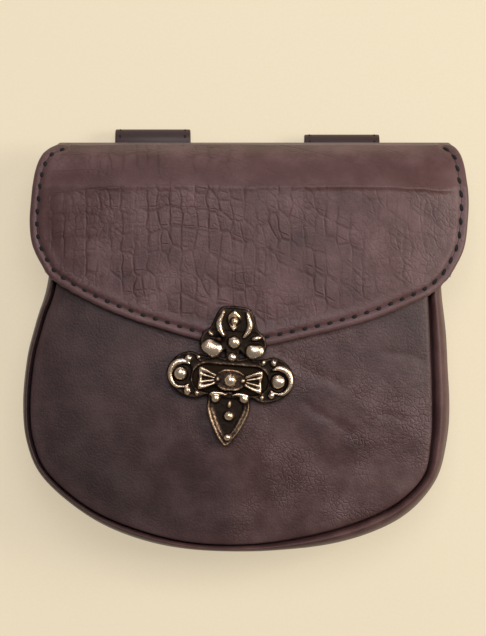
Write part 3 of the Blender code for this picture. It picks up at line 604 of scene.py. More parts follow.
# %% Flap outline and height
FLAP_WIDTH, FLAP_CENTRE, FLAP_SIDE, FLAP_POINT = 184.8 * MM, 1.4 * MM, 56.2 * MM, 31.2 * MM
FLAP_ROLL = 0.9 * MM
# The left side, the lower edge and the right side: across as a share of the width, and down as a
# share of the side or of the point
FLAP_LEFT = [
    (-0.431, 0.00), (-0.452, 0.03), (-0.469, 0.08), (-0.481, 0.16), (-0.489, 0.27), (-0.495, 0.45),
    (-0.498, 0.62), (-0.490, 0.80), (-0.458, 1.00),
]
FLAP_EDGE = [
    (-0.458, 0.000), (-0.428, 0.150), (-0.347, 0.410), (-0.265, 0.610), (-0.183, 0.765), (-0.110, 0.890),
    (-0.035, 1.000), (0.040, 0.960), (0.125, 0.850), (0.205, 0.740), (0.275, 0.620), (0.350, 0.450),
    (0.415, 0.270), (0.456, 0.060),
]
FLAP_RIGHT = [
    (0.459, 0.00), (0.473, 0.025), (0.484, 0.08), (0.492, 0.16), (0.497, 0.27), (0.502, 0.43),
    (0.500, 0.60), (0.490, 0.82), (0.456, 1.03),
]
# From the ridge to the fold: share of the way back, and share of the height
FLAP_SLOPE = [(0.00, 1.000), (0.14, 0.945), (0.38, 0.850), (0.70, 0.680), (0.92, 0.440)]
ridge_y = MOUTH_Y + LAY_GAP
FLAP_LIFT = LAY_GAP + FLAP_WALL
side_level = FLAP_TOP - FLAP_SIDE


def flap_rows(rows, top, size):
    """Table rows as a fair curve in the plan."""
    return smooth_path([(FLAP_CENTRE + a * FLAP_WIDTH, top - size * d) for a, d in rows])


flap_left = flap_rows(FLAP_LEFT, FLAP_TOP, FLAP_SIDE)
flap_right = flap_rows(FLAP_RIGHT, FLAP_TOP, FLAP_SIDE)
flap_edge = flap_rows(FLAP_EDGE, side_level, FLAP_POINT)
flap_edge[0], flap_edge[-1] = flap_left[-1], flap_right[-1]
# The corners of the table are eased so that the outline has no kink where the curves meet
OUTLINE_POINTS, EASING_ROUNDS = 1200, 60
whole = np.vstack([flap_left[:-1], flap_edge, flap_right[::-1][1:]])
FLAP_OUTLINE = along(whole, np.linspace(0, 1, OUTLINE_POINTS))
for _ in range(EASING_ROUNDS):
    FLAP_OUTLINE[1:-1] = (FLAP_OUTLINE[:-2] + 2 * FLAP_OUTLINE[1:-1] + FLAP_OUTLINE[2:]) / 4
FLAP_NORMAL = outward(FLAP_OUTLINE)
FLAP_INSET = FLAP_OUTLINE - FLAP_NORMAL * FLAP_ROLL
print("flap edge in mm:", round(path_length(FLAP_OUTLINE)[-1] / MM))

# %% Flap grid
FLAP_COLUMNS, FRONT_STEPS, LEG_STEPS, SLOPE_STEPS = 273, 144, 28, 44
left_turn = np.argmin(np.hypot(*(FLAP_INSET - flap_left[-1]).T))
right_turn = np.argmin(np.hypot(*(FLAP_INSET - flap_right[-1]).T))
side_a, side_b = FLAP_INSET[: left_turn + 1], FLAP_INSET[right_turn:][::-1]
lower_edge = FLAP_INSET[left_turn : right_turn + 1]
share = np.linspace(0.0, 1.0, FLAP_COLUMNS)


def side_x(side, y):
    """Where a side of the flap is at a level."""
    return np.interp(-np.asarray(y), -side[:, 1], side[:, 0])


def ridge_height(x):
    """Height of the flap's ridge over the mouth."""
    return pillow_height(x, ridge_y) + FLAP_LIFT


fold_y = FLAP_TOP - FOLD_RADIUS
arc = np.radians(np.linspace(0, 90, 19))
slope = smooth_path(FLAP_SLOPE, 12)
leg = LEG_END - fold_y
profile = [(leg + EDGE_ROLL, 0.0)] + [(part * leg, 0.0) for part in np.linspace(0.9, 0.05, 9)]
profile += [(FOLD_RADIUS * math.sin(a), FOLD_RADIUS * (1 - math.cos(a))) for a in arc]
rows = []
left_end, right_end = side_x(side_a, FLAP_TOP), side_x(side_b, FLAP_TOP)
for dy, dz in profile:
    x = left_end + (right_end - left_end) * share
    rows.append(np.column_stack([x, np.full_like(x, fold_y + dy), np.full_like(x, LEG_BASE + dz)]))
for back, rise in slope[::-1]:
    y = ridge_y + (FLAP_TOP - ridge_y) * back
    x = side_x(side_a, y) + (side_x(side_b, y) - side_x(side_a, y)) * share
    rows.append(np.column_stack([x, np.full_like(x, y), LEG_BASE + (ridge_height(x) - LEG_BASE) * rise]))
upper = np.array(rows)
# Even steps down each column keep the cells square
steps = np.linalg.norm(np.diff(upper, axis=0), axis=2).mean(axis=1)
run = np.concatenate([[0.0], np.cumsum(steps)])
wanted = np.linspace(0.0, run[-1], LEG_STEPS + SLOPE_STEPS + 1)
even = [[np.interp(wanted, run, upper[:, j, k]) for j in range(FLAP_COLUMNS)] for k in range(3)]
upper = np.array(even).transpose(2, 1, 0)
UPPER_RUN = run[-1]


def below_ridge(side):
    """A side from the ridge down to where it turns into the lower edge."""
    kept = side[side[:, 1] < ridge_y]
    return np.vstack([[float(side_x(side, ridge_y)), ridge_y], kept])


v = np.linspace(0.0, 1.0, FRONT_STEPS + 1)[1:, None, None]
u = share[None, :, None]
side_a_low, side_b_low = [along(below_ridge(side), v.ravel())[:, None, :] for side in (side_a, side_b)]
ridge_line, bottom_line = upper[-1, :, :2][None], along(lower_edge, share)[None]
plan = (1 - v) * ridge_line + v * bottom_line + (1 - u) * side_a_low + u * side_b_low
plan -= (1 - v) * ((1 - u) * ridge_line[:, :1] + u * ridge_line[:, -1:])
plan -= v * ((1 - u) * bottom_line[:, :1] + u * bottom_line[:, -1:])
lower = np.dstack([plan, pillow_height(plan[..., 0], plan[..., 1]) + FLAP_LIFT])
flap_grid = np.concatenate([upper, lower])
down_run = np.cumsum(np.linalg.norm(np.diff(flap_grid, axis=0), axis=2), axis=0)
down_run = np.vstack([np.zeros((1, FLAP_COLUMNS)), down_run]) - UPPER_RUN
flap_flat = np.dstack([flap_grid[..., 0], -down_run])
print("flap grid:", flap_grid.shape[:2])


# %% Rim, groove and slack of the flap
CHUNKS = 16


def edge_distance(points):
    """Distance in the plan from each point to the flap's outline."""
    nearest = []
    for some in np.array_split(points.reshape(-1, 2), CHUNKS):
        gap = some[:, None, :] - FLAP_OUTLINE[None, ::3]
        nearest.append(np.sqrt((gap**2).sum(axis=2).min(axis=1)))
    return np.concatenate(nearest).reshape(points.shape[:-1])


def ridge_line_at(distance, height, half):
    """A soft ridge of a height, or a groove below 0, at a distance of 0."""
    return height * np.exp(-((distance / half) ** 2))


STITCH_INSET, RIM_RISE, RIM_DROP, GROOVE_WIDTH = 3.8 * MM, 0.4 * MM, 0.5 * MM, 0.75 * MM
gap = edge_distance(flap_grid[..., :2])
on_top = ease((flap_grid[..., 2] - LEG_BASE - 6 * MM) / (6 * MM))
rim = RIM_RISE * np.sin(np.clip(gap / STITCH_INSET, 0, 1) * math.pi) ** 0.8
rim = rim - RIM_DROP * (1 - ease(gap / (1.6 * MM)))
groove = ridge_line_at(gap - STITCH_INSET, -0.5 * MM, GROOVE_WIDTH)
swell = ridge_line_at(gap - STITCH_INSET - 2.2 * MM, 0.22 * MM, 1.6 * MM)
fx, fy = flap_grid[..., 0], flap_grid[..., 1]
slack = waves(fx, fy, [(0.30, 34, 21), (0.10, 13, 22)])
# The crest of the ridge is a thin wandering line, clearer at the right
crest_y = ridge_y - 0.4 * MM + waves(fx, np.zeros_like(fx), [(1.3, 31, 27), (0.5, 9, 28)])
crest = ridge_line_at(fy - crest_y, 0.6 * MM, 1.0 * MM) * (0.3 + 0.7 * ease((fx - 15 * MM) / (30 * MM)))
inner_share = ease((gap - STITCH_INSET) / (9 * MM))
raise_by = on_top * (rim + groove + swell + inner_share * (slack + crest))
flesh = (flap_grid + inward_normals(flap_grid) * FLAP_WALL)[::FLESH_STEP, ::FLESH_STEP]
flap_grid = flap_grid - inward_normals(flap_grid) * raise_by[..., None]
rim_mark = on_top * (1 - ease((gap - STITCH_INSET) / (0.8 * MM)))

# Creases follow long arcs that droop to the right, with short joints between them like brickwork
CREASE_PITCH, CREASE_ROW = 5.0 * MM, 9.0 * MM
ARC_START, ARC_REACH, ARC_DROOP, ARC_POWER = -35 * MM, 100 * MM, 37.4288 * MM, 1.7
run_up = flap_flat[..., 1]
droop = ARC_DROOP * (np.maximum(fx - ARC_START, 0) / ARC_REACH) ** ARC_POWER
crease_x = (fx + waves(fx, run_up, [(0.8, 22, 23), (0.45, 4, 24)])) / CREASE_PITCH
crease_y = (run_up + droop + waves(fx, run_up, [(2.6, 34, 25), (0.8, 8, 26)])) / CREASE_ROW
maps = {"pattern": flap_flat, "crease": np.dstack([crease_x, crease_y])}
# Red brown tone with painted shade in the hollow just above the ridge, away from the edge
hollow_red_shade = np.exp(-(((run_up - 6.5 * MM) / (5.0 * MM)) ** 2)) * ease((gap - 2 * MM) / (8 * MM))
quiet_right = 0.35 * ease((fx - 24 * MM) / (34 * MM))
sown = inner_share * (1 - quiet_right)
# Short joints are strong below the ridge, and weaker over its left half, up in the hollow
left_half = ease((12 * MM - fx) / (30 * MM)) * ease((fx + 75 * MM) / (20 * MM))
jointed = (ease(-run_up / (2 * MM)) + 0.85 * ease((run_up - 3 * MM) / (4 * MM)) * left_half) * sown
marks = {"edge": rim_mark, "hollow": hollow_red_shade, "jointed": jointed, "creased": sown}
flap = hide_shell("flap_hide", flap_grid, FLAP_WALL, maps, roll=FLAP_ROLL, inner=flesh, marks=marks)


# %% [markdown]
# ## The belt loops
# Each loop is one strip folded on itself and sewn flat at its lower end. Only the folds show above
# the flap. The strip's side view is drawn once as an outline with a slot, pushed out to the width of
# the strip, and its edges are softened with a bevel, as a strap cutter's edge is dressed.

# %% Belt loops
LOOP_WIDTH, LOOP_SPACING, LOOP_CENTRE = 32.0 * MM, 80.5 * MM, 1.0 * MM
EDGE_DRESS, SHARP_EDGE, SMOOTH_EDGE = 0.6 * MM, math.radians(35), math.radians(30)


def belt_loop(name, centre, stand):
    """The folded strip of one loop."""
    radius, hollow = LOOP_HEIGHT / 2, BELT_GAP / 2
    middle_y = POUCH_TOP + stand - radius
    ramp_y = LOOP_BOTTOM + LOOP_TAB + 2.3 * STEP_LENGTH
    tab_end = LOOP_BOTTOM + LOOP_TAB + 0.3 * STEP_LENGTH
    turns = np.radians(np.linspace(-90, 90, 25))
    outline = [(LOOP_BOTTOM, 0.0)]
    outline += [(middle_y + radius * math.cos(a), radius + radius * math.sin(a)) for a in turns]
    outline += [(ramp_y, LOOP_HEIGHT), (tab_end, LOOP_WALL), (LOOP_BOTTOM, LOOP_WALL)]
    slot = [(tab_end + 3 * LOOP_WALL, LOOP_WALL)]
    slot += [(middle_y + hollow * math.cos(a), radius + hollow * math.sin(a)) for a in turns]
    slot += [(ramp_y + LOOP_WALL / 2, LOOP_HEIGHT - LOOP_WALL)]
    bm = bmesh.new()
    edges = []
    for line in (outline, slot):
        ring = [bm.verts.new((centre - LOOP_WIDTH / 2, y, z)) for y, z in line]
        edges += [bm.edges.new((a, b)) for a, b in zip(ring, ring[1:] + ring[:1])]
    filled = bmesh.ops.triangle_fill(bm, use_beauty=True, use_dissolve=False, edges=edges)
    faces = [item for item in filled["geom"] if isinstance(item, bmesh.types.BMFace)]
    pushed = bmesh.ops.extrude_face_region(bm, geom=faces)
    moved = [item for item in pushed["geom"] if isinstance(item, bmesh.types.BMVert)]
    bmesh.ops.translate(bm, verts=moved, vec=(LOOP_WIDTH, 0.0, 0.0))
    bmesh.ops.recalc_face_normals(bm, faces=bm.faces)
    sharp = [e for e in bm.edges if len(e.link_faces) == 2 and e.calc_face_angle(0) > SHARP_EDGE]
    dressed = {"offset": EDGE_DRESS, "segments": 3, "profile": 0.5, "affect": "EDGES"}
    bmesh.ops.bevel(bm, geom=sharp, clamp_overlap=True, **dressed)
    mesh = bpy.data.meshes.new(name)
    bm.to_mesh(mesh)
    bm.free()
    mesh.shade_smooth()
    mesh.set_sharp_from_angle(angle=SMOOTH_EDGE)
    print(name, "has", len(mesh.polygons), "faces")
    return new_object(name, mesh)


loops = [
    belt_loop("belt_loop_left_hide", LOOP_CENTRE - LOOP_SPACING / 2, LEFT_STAND),
    belt_loop("belt_loop_right_hide", LOOP_CENTRE + LOOP_SPACING / 2, RIGHT_STAND),
]


# %% [markdown]
# ## The cast clasp
# The clasp is a cross cast in brass: three petals at the top, a round lobe on each side, a pointed
# shield below, and a slot in which a bow turns. A casting has no undercuts on its face, so it can be
# drawn as heights over a flat grid, just as a carver cuts the pattern for the mould. Beads are domes
# and ribs are rounded lines. The grid's border points are pulled onto the outline, which keeps the
# edge clean, and a wall and a base close the solid.

# %% Clasp frame and outline
CLASP_X, CLASP_DROP = -6.1 * MM, 99.8 * MM
CLASP_TURN, CLASP_LEAN = 4.5, 2.0
CLASP_WIDTH, CLASP_HEIGHT = 53.0 * MM, 57.7 * MM
CLASP_Y = FLAP_TOP - CLASP_DROP
FLAP_TIP_Y = FLAP_TOP - FLAP_SIDE - FLAP_POINT
PLATE_THICK, LOW_RELIEF, RUN_GAP = 1.8, 1.0, 0.5
BOW_UNDER = PLATE_THICK + LOW_RELIEF + RUN_GAP
CAST_STEP = 0.25

# Half of the cross from the top to the tip, as shares of its width and height from the bow's middle
CLASP_OUTLINE = [
    (0.062, 0.528), (0.120, 0.508), (0.158, 0.440), (0.188, 0.370), (0.240, 0.325), (0.264, 0.250),
    (0.236, 0.190), (0.170, 0.152), (0.250, 0.165), (0.330, 0.183), (0.420, 0.152), (0.482, 0.085),
    (0.500, 0.023), (0.478, -0.050), (0.410, -0.112), (0.330, -0.145), (0.250, -0.150), (0.172, -0.125),
    (0.168, -0.215), (0.142, -0.290), (0.098, -0.375), (0.045, -0.450), (0.000, -0.484),
]


def clasp_matrix():
    """The matrix from the clasp's own millimetres to the bag."""
    turn = Matrix.Rotation(math.radians(-CLASP_TURN), 4, "Z")
    turn = turn @ Matrix.Rotation(math.radians(CLASP_LEAN), 4, "X")
    seats = []
    for u, v in [(s * a * CLASP_WIDTH, b * CLASP_HEIGHT) for a, b in CLASP_OUTLINE for s in (1, -1)]:
        reach = turn @ Vector((u, v, 0.0))
        x, y = CLASP_X + reach.x, CLASP_Y + reach.y
        cover = LAY_GAP + FLAP_WALL if y > FLAP_TIP_Y else 0.0
        seats.append(float(pillow_height(x, y)) + cover - reach.z)
    return Matrix.Translation((CLASP_X, CLASP_Y, max(seats) + SEAM_GAP)) @ turn @ Matrix.Scale(MM, 4)


PLACE = clasp_matrix()
print("clasp stands at height in mm:", round(PLACE.translation.z / MM, 2))


RING_STEPS = 14


def closed_curve(half, width, height, both=False):
    """A fair closed outline from its right half, or from a quarter of it."""
    right = [(a * width, b * height) for a, b in half]
    if both:
        right = right + [(a, -b) for a, b in right[::-1][1:]]
    ring = np.array(right + [(-a, b) for a, b in right[::-1] if a > 1e-9])
    count = len(ring)
    corners = [[ring[(i + k) % count] for k in (-1, 0, 1, 2)] for i in range(count)]
    return np.vstack([between(*four, RING_STEPS) for four in corners])


def stadium(straight, radius):
    """A closed outline with two straight sides and round ends."""
    turns = np.radians(np.arange(0, 360, 6))
    across = straight * np.sign(np.cos(turns)) + radius * np.cos(turns)
    return np.column_stack([across, radius * np.sin(turns)])


# %% Casting helper
CAST_BLUR, EDGE_DROP, POLISH_CELLS = 0.4, 0.75, 8


def inside(u, v, ring):
    """Whether each point lies inside a closed ring, by counting crossings."""
    hit = np.zeros(u.shape, dtype=bool)
    for (a, b), (c, d) in zip(ring, np.roll(ring, -1, axis=0)):
        if b != d:
            hit ^= ((b > v) != (d > v)) & (u < (c - a) * (v - b) / (d - b) + a)
    return hit


def ring_distance(u, v, ring):
    """Distance to a ring, above 0 inside it, and the nearest points of the ring."""
    best = np.full(u.shape, 1e9)
    near_u, near_v = np.zeros(u.shape), np.zeros(u.shape)
    for (a, b), (c, d) in zip(ring, np.roll(ring, -1, axis=0)):
        du, dv = c - a, d - b
        t = np.clip(((u - a) * du + (v - b) * dv) / max(du * du + dv * dv, 1e-12), 0, 1)
        gap = np.hypot(u - a - t * du, v - b - t * dv)
        closer = gap < best
        best = np.where(closer, gap, best)
        near_u, near_v = np.where(closer, a + t * du, near_u), np.where(closer, b + t * dv, near_v)
    return np.where(inside(u, v, ring), best, -best), near_u, near_v


def dome(height, u, v, u0, v0, half_u, half_v, turn, foot, rise):
    """Raise the heights to a rounded boss at u0, v0."""
    c, s = math.cos(math.radians(turn)), math.sin(math.radians(turn))
    du, dv = u - u0, v - v0
    q = ((du * c + dv * s) / half_u) ** 2 + ((dv * c - du * s) / half_v) ** 2
    return np.where(q < 1, np.maximum(height, foot + rise * np.sqrt(np.clip(1 - q, 0, 1))), height)


def rib(height, u, v, foot, rise, points):
    """Raise the heights to a rounded line through rows of u, v and half width."""
    line = smooth_path(points, 12)
    best = np.full(u.shape, 9.0)
    for a, b, half in line:
        best = np.minimum(best, np.hypot(u - a, v - b) / half)
    return np.where(best < 1, np.maximum(height, foot + rise * np.sqrt(np.clip(1 - best**2, 0, 1))), height)


def blurred(field, radius):
    """The field averaged over about a radius, in grid cells."""
    out = field
    for _ in range(3):
        for axis in (0, 1):
            pad = [(radius + 1, radius) if k == axis else (0, 0) for k in (0, 1)]
            total = np.cumsum(np.pad(out, pad, mode="edge"), axis=axis)
            size = 2 * radius + 1
            high = np.take(total, range(size, total.shape[axis]), axis=axis)
            low = np.take(total, range(0, total.shape[axis] - size), axis=axis)
            out = (high - low) / size
    return out


def casting(ring, holes, shape, low, round_over=0.7):
    """Points, faces and wear of a closed casting whose face has the height shape(u, v, inset)."""
    reach = np.abs(ring).max(axis=0) + 2 * CAST_STEP
    us = np.arange(-reach[0], reach[0] + CAST_STEP, CAST_STEP)
    vs = np.arange(ring[:, 1].min() - 2 * CAST_STEP, ring[:, 1].max() + 2 * CAST_STEP, CAST_STEP)
    u, v = np.meshgrid(us, vs)
    inset, near_u, near_v = ring_distance(u, v, ring)
    for hole in holes:
        gap, hole_u, hole_v = ring_distance(u, v, hole)
        closer = -gap < inset
        inset = np.where(closer, -gap, inset)
        near_u, near_v = np.where(closer, hole_u, near_u), np.where(closer, hole_v, near_v)
    snap = np.abs(inset) < 0.5 * CAST_STEP
    u, v = np.where(snap, near_u, u), np.where(snap, near_v, v)
    keep = inset > -0.5 * CAST_STEP
    inset = np.where(snap, 0.0, inset)
    face = shape(u, v, inset)
    face = (1 - CAST_BLUR) * face + CAST_BLUR * blurred(face, 1)
    edge = np.clip(1 - inset / round_over, 0, 1)
    drop = 1 - np.sqrt(1 - edge**2)
    top = low + (face - low) * (1 - EDGE_DROP * drop)
    polish = face - blurred(face, POLISH_CELLS)
    cells = keep[:-1, :-1] & keep[:-1, 1:] & keep[1:, :-1] & keep[1:, 1:]
    rows, columns = u.shape
    used = np.zeros(u.shape, dtype=bool)
    for shift in ((0, 0), (0, 1), (1, 0), (1, 1)):
        used[shift[0] : rows - 1 + shift[0], shift[1] : columns - 1 + shift[1]] |= cells
    index = np.full(u.shape, -1)
    index[used] = np.arange(used.sum())
    count = int(used.sum())
    points = [np.column_stack([u[used], v[used], z[used]]) for z in (top, np.full_like(top, low))]
    i, j = np.nonzero(cells)
    quads = np.column_stack([index[i, j], index[i, j + 1], index[i + 1, j + 1], index[i + 1, j]])
    faces = quads.tolist() + (quads[:, ::-1] + count).tolist()
    framed = np.pad(cells, 1)
    sides = [((-1, 0), 0, 1), ((0, 1), 1, 2), ((1, 0), 2, 3), ((0, -1), 3, 0)]
    for (di, dj), a, b in sides:
        open_side = ~framed[i + 1 + di, j + 1 + dj]
        start, end = quads[open_side, a], quads[open_side, b]
        faces += np.column_stack([end, start, start + count, end + count]).tolist()
    wear = np.concatenate([polish[used], np.zeros(count)])
    return np.vstack(points), faces, wear


def ball(level, radius, sides=40):
    """Points and faces of a closed ball over the middle."""
    rings = sides // 2
    turns = [2 * math.pi * m / sides for m in range(sides)]
    points = [(0.0, 0.0, level - radius)]
    for k in range(1, rings):
        a = -math.pi / 2 + math.pi * k / rings
        reach, height = radius * math.cos(a), level + radius * math.sin(a)
        points += [(reach * math.cos(b), reach * math.sin(b), height) for b in turns]
    points.append((0.0, 0.0, level + radius))
    after = [(m + 1) % sides for m in range(sides)]
    faces = [(0, 1 + after[m], 1 + m) for m in range(sides)]
    for a in range(1, 1 + (rings - 2) * sides, sides):
        faces += [(a + m, a + after[m], a + sides + after[m], a + sides + m) for m in range(sides)]
    last = 1 + (rings - 2) * sides
    faces += [(last + m, last + after[m], len(points) - 1) for m in range(sides)]
    return np.array(points), faces


def drum(radius, low, high, sides=32):
    """Points and faces of a closed round post."""
    turns = np.arange(sides) * 2 * math.pi / sides
    ring = np.column_stack([radius * np.cos(turns), radius * np.sin(turns)])
    points = np.vstack([np.column_stack([ring, np.full(sides, z)]) for z in (low, high)])
    faces = [(m, (m + 1) % sides, sides + (m + 1) % sides, sides + m) for m in range(sides)]
    return points, faces + [tuple(range(sides - 1, -1, -1)), tuple(range(sides, 2 * sides))]


def joined(parts):
    """Several sets of points and faces as one."""
    points, faces, start = [], [], 0
    for some_points, some_faces in parts:
        points.append(some_points)
        faces += [[start + k for k in face] for face in some_faces]
        start += len(some_points)
    return np.vstack(points), faces


def place_cast(name, points, faces, wear):
    """A casting's object, set on the bag, with its wear stored for the finish."""
    world = points @ np.array(PLACE.to_3x3()).T + np.array(PLACE.translation)
    return link_mesh(name, world, faces, {"pattern": points[:, :2] * MM}, {"wear": wear})


# %% The cross
SLOT_LENGTH, SLOT_WIDTH = 31.0, 11.4
FIELD, SHIELD_TOP, SHIELD_HALF = 1.15, -6.5, 11.0
LOBES, LOBE_RADIUS = [(19.6, 1.4), (-20.3, 1.5)], 4.8
CURL_REACH, CURL_LIFT = 8.6, 0.8

# Domes of the cross: u, v, half sizes, turn, foot and rise, in mm and degrees
BEADS = [
    (0.4, 15.5, 2.7, 2.7, 0, 1.3, 2.2), (0.0, 9.3, 1.9, 1.9, 0, 1.2, 1.4),
    (-8.7, 12.4, 4.8, 4.2, -8, 1.0, 2.3), (9.3, 12.4, 4.2, 3.8, 8, 1.0, 2.3),
    (-9.5, 18.5, 1.4, 0.7, -40, 1.6, 0.9), (9.4, 17.9, 2.1, 1.0, 16, 1.6, 1.1),
    (-20.8, 1.1, 3.0, 3.0, 0, 1.2, 2.7), (19.8, 0.7, 3.2, 3.2, 0, 1.2, 2.7),
    (-17.9, 7.5, 1.6, 1.7, 12, 1.5, 1.6), (17.3, 8.3, 1.3, 1.5, 0, 1.5, 1.6),
    (-13.8, 8.4, 0.9, 0.9, 0, 1.2, 1.3), (13.1, 8.0, 0.9, 1.3, 0, 1.2, 1.1),
    (-17.3, -5.8, 1.6, 2.0, 8, 1.4, 1.7), (17.5, -5.1, 1.4, 1.7, -10, 1.4, 1.7),
    (-13.3, -6.4, 1.2, 1.2, 0, 1.2, 1.7), (13.6, -6.3, 1.1, 1.1, 0, 1.2, 1.5),
    (-5.5, -8.0, 1.9, 2.1, 0, 1.4, 1.9), (6.2, -7.4, 2.0, 2.1, 0, 1.4, 1.9),
    (0.5, -15.0, 2.2, 2.2, 0, 1.0, 2.2), (0.6, -23.9, 1.5, 1.5, 0, 1.3, 1.5),
    (0.3, -10.4, 0.8, 1.6, 0, 1.0, 0.5),
]
# Dents in the two big beads: u, v, half sizes and depth
DENTS = [(-6.2, 16.2, 2.0, 1.5, 1.5), (9.2, 15.4, 2.2, 0.9, 1.0)]
# The middle petal: foot, length and half width, the middle of its bead, and the groove round the bead
PETAL_FOOT, PETAL_LENGTH, PETAL_HALF = 20.1, 8.8, 2.95
PETAL_BEAD = (0.0, 24.1, 1.55, 1.55, 0, 1.9, 1.6)
PETAL_GROOVE = 1.9
# Ribs of the right half, made on both sides: foot, rise, then rows of u, v and half width
RIBS = [
    (1.3, 1.4, [(4.9, 28.0, 0.6), (5.7, 25.6, 1.0), (6.4, 23.2, 1.3), (5.9, 20.6, 1.2), (4.4, 18.2, 0.8)]),
    (1.0, 0.6, [(2.6, 13.0, 0.5), (4.4, 11.0, 0.55), (6.0, 9.0, 0.5)]),
    (1.0, 0.5, [(1.6, 11.9, 0.4), (2.8, 9.9, 0.45), (3.7, 8.6, 0.4)]),
    (1.2, 1.4, [(17.4, 5.4, 0.5), (20.0, 6.2, 1.3), (23.3, 4.8, 1.7), (25.0, 1.6, 1.4), (24.6, -1.4, 1.2),
                (22.4, -4.0, 0.9), (19.4, -4.3, 0.5), (17.0, -3.2, 0.35)]),
    (1.3, 1.4, [(7.1, -6.2, 1.2), (5.6, -5.7, 1.3), (3.6, -5.7, 1.05), (1.5, -6.3, 0.5)]),
    (1.0, 0.5, [(15.2, 9.4, 0.5), (13.0, 6.9, 0.5), (11.3, 7.6, 0.4)]),
]


def mirrored(height, u, v, ribs, level=0.0):
    """Raise the heights to ribs and to their mirror images."""
    for side in (1, -1):
        for foot, rise, points in ribs:
            height = rib(height, u, v, level + foot, rise, [(side * a, b, half) for a, b, half in points])
    return height


def middle_petal(height, u, v):
    """Raise the heights to the almond petal at the top and the bead that it holds."""
    share = np.clip((v - PETAL_FOOT) / PETAL_LENGTH, 0, 1)
    half = PETAL_HALF * np.sin(math.pi * share**1.25) ** 0.75
    petal = np.clip(1 - ((u + 0.3) / np.maximum(half, 1e-6)) ** 2, 0, 1)
    crown = FIELD + 0.2 + 1.7 * np.sqrt(petal)
    height = np.where(half > 0.05, np.maximum(height, crown), height)
    bead_gap = np.hypot(u - PETAL_BEAD[0], v - PETAL_BEAD[1])
    height = height + ridge_line_at(bead_gap - PETAL_GROOVE, -1.1, 0.4) * (petal > 0)
    return dome(height, u, v, *PETAL_BEAD)


def cross_face(u, v, inset):
    """Heights of the cross: its field, its raised edges, its ribs and its beads."""
    height = FIELD + ridge_line_at(inset - 0.6, 0.3, 0.5)
    shield = ease((SHIELD_TOP - v) / 2.0) * (np.abs(u) < SHIELD_HALF)
    border_lines = ridge_line_at(inset - 0.6, 0.15, 0.5) + ridge_line_at(inset - 2.1, 0.25, 0.35)
    height += shield * (border_lines - 0.35 * ease((inset - 2.6) / 0.6))
    dish = np.minimum(*[np.hypot(u - u0, v - v0) for u0, v0 in LOBES])
    height -= 0.4 * ease((LOBE_RADIUS - dish) / 0.8)
    height = mirrored(height, u, v, RIBS)
    for bead in BEADS:
        height = dome(height, u, v, *bead)
    for u0, v0, half_u, half_v, deep in DENTS:
        height = height - deep * np.exp(-(((u - u0) / half_u) ** 2 + ((v - v0) / half_v) ** 2))
    return middle_petal(height, u, v) + 0.05 * wander(u, v, 1.7, 31)


slot_half = SLOT_LENGTH / 2 - SLOT_WIDTH / 2
slot_ring = stadium(slot_half, SLOT_WIDTH / 2)
slot_ring = along(np.vstack([slot_ring, slot_ring[:1]]), np.linspace(0, 1, 241))[:-1]
# The shield's curls reach over the lower edge of the slot, up to the bow
slot_ring[:, 1] += CURL_LIFT * ease((CURL_REACH - np.abs(slot_ring[:, 0])) / 1.6) * (slot_ring[:, 1] < 0)
pierced = [np.array([(s * 3.0, 12.2), (s * 5.6, 9.6), (s * 2.9, 8.8)][::s]) for s in (1, -1)]
cross_ring = closed_curve(CLASP_OUTLINE, CLASP_WIDTH / MM, CLASP_HEIGHT / MM)
points, faces, wear = casting(cross_ring, [slot_ring] + pierced, cross_face, 0.0)
cross = place_cast("clasp_cross", points, faces, wear)
print("cross has", len(faces), "faces and stands", round(float(points[:, 2].max()), 2), "mm high")

# %% The base that the bow turns in
POST_RADIUS, COLLAR_RADIUS, COLLAR_RISE = 1.8, 4.2, 0.25
front_level = (float(pillow_height(CLASP_X, CLASP_Y)) - PLACE.translation.z) / MM
foot = front_level + (LAY_GAP + SEAM_GAP) / MM
base_low, base_high = foot - SEAM_GAP / MM, -LAY_GAP / MM
base_ring = stadium(slot_half + 0.6, SLOT_WIDTH / 2 + 1.0)
post_hole = stadium(0.0, POST_RADIUS + SEAM_GAP / MM)


def base_face(u, v, inset):
    """Heights of the base plate, with a low collar round the post."""
    collar = COLLAR_RISE * (1 - ease((COLLAR_RADIUS - np.hypot(u, v)) / 0.8))
    return base_high - collar + 0.03 * wander(u, v, 1.9, 33)


points, faces, wear = casting(base_ring, [post_hole], base_face, base_low, round_over=0.4)
base_plate = place_cast("turn_base_cast", points, faces, wear)
print("base has", len(faces), "faces")

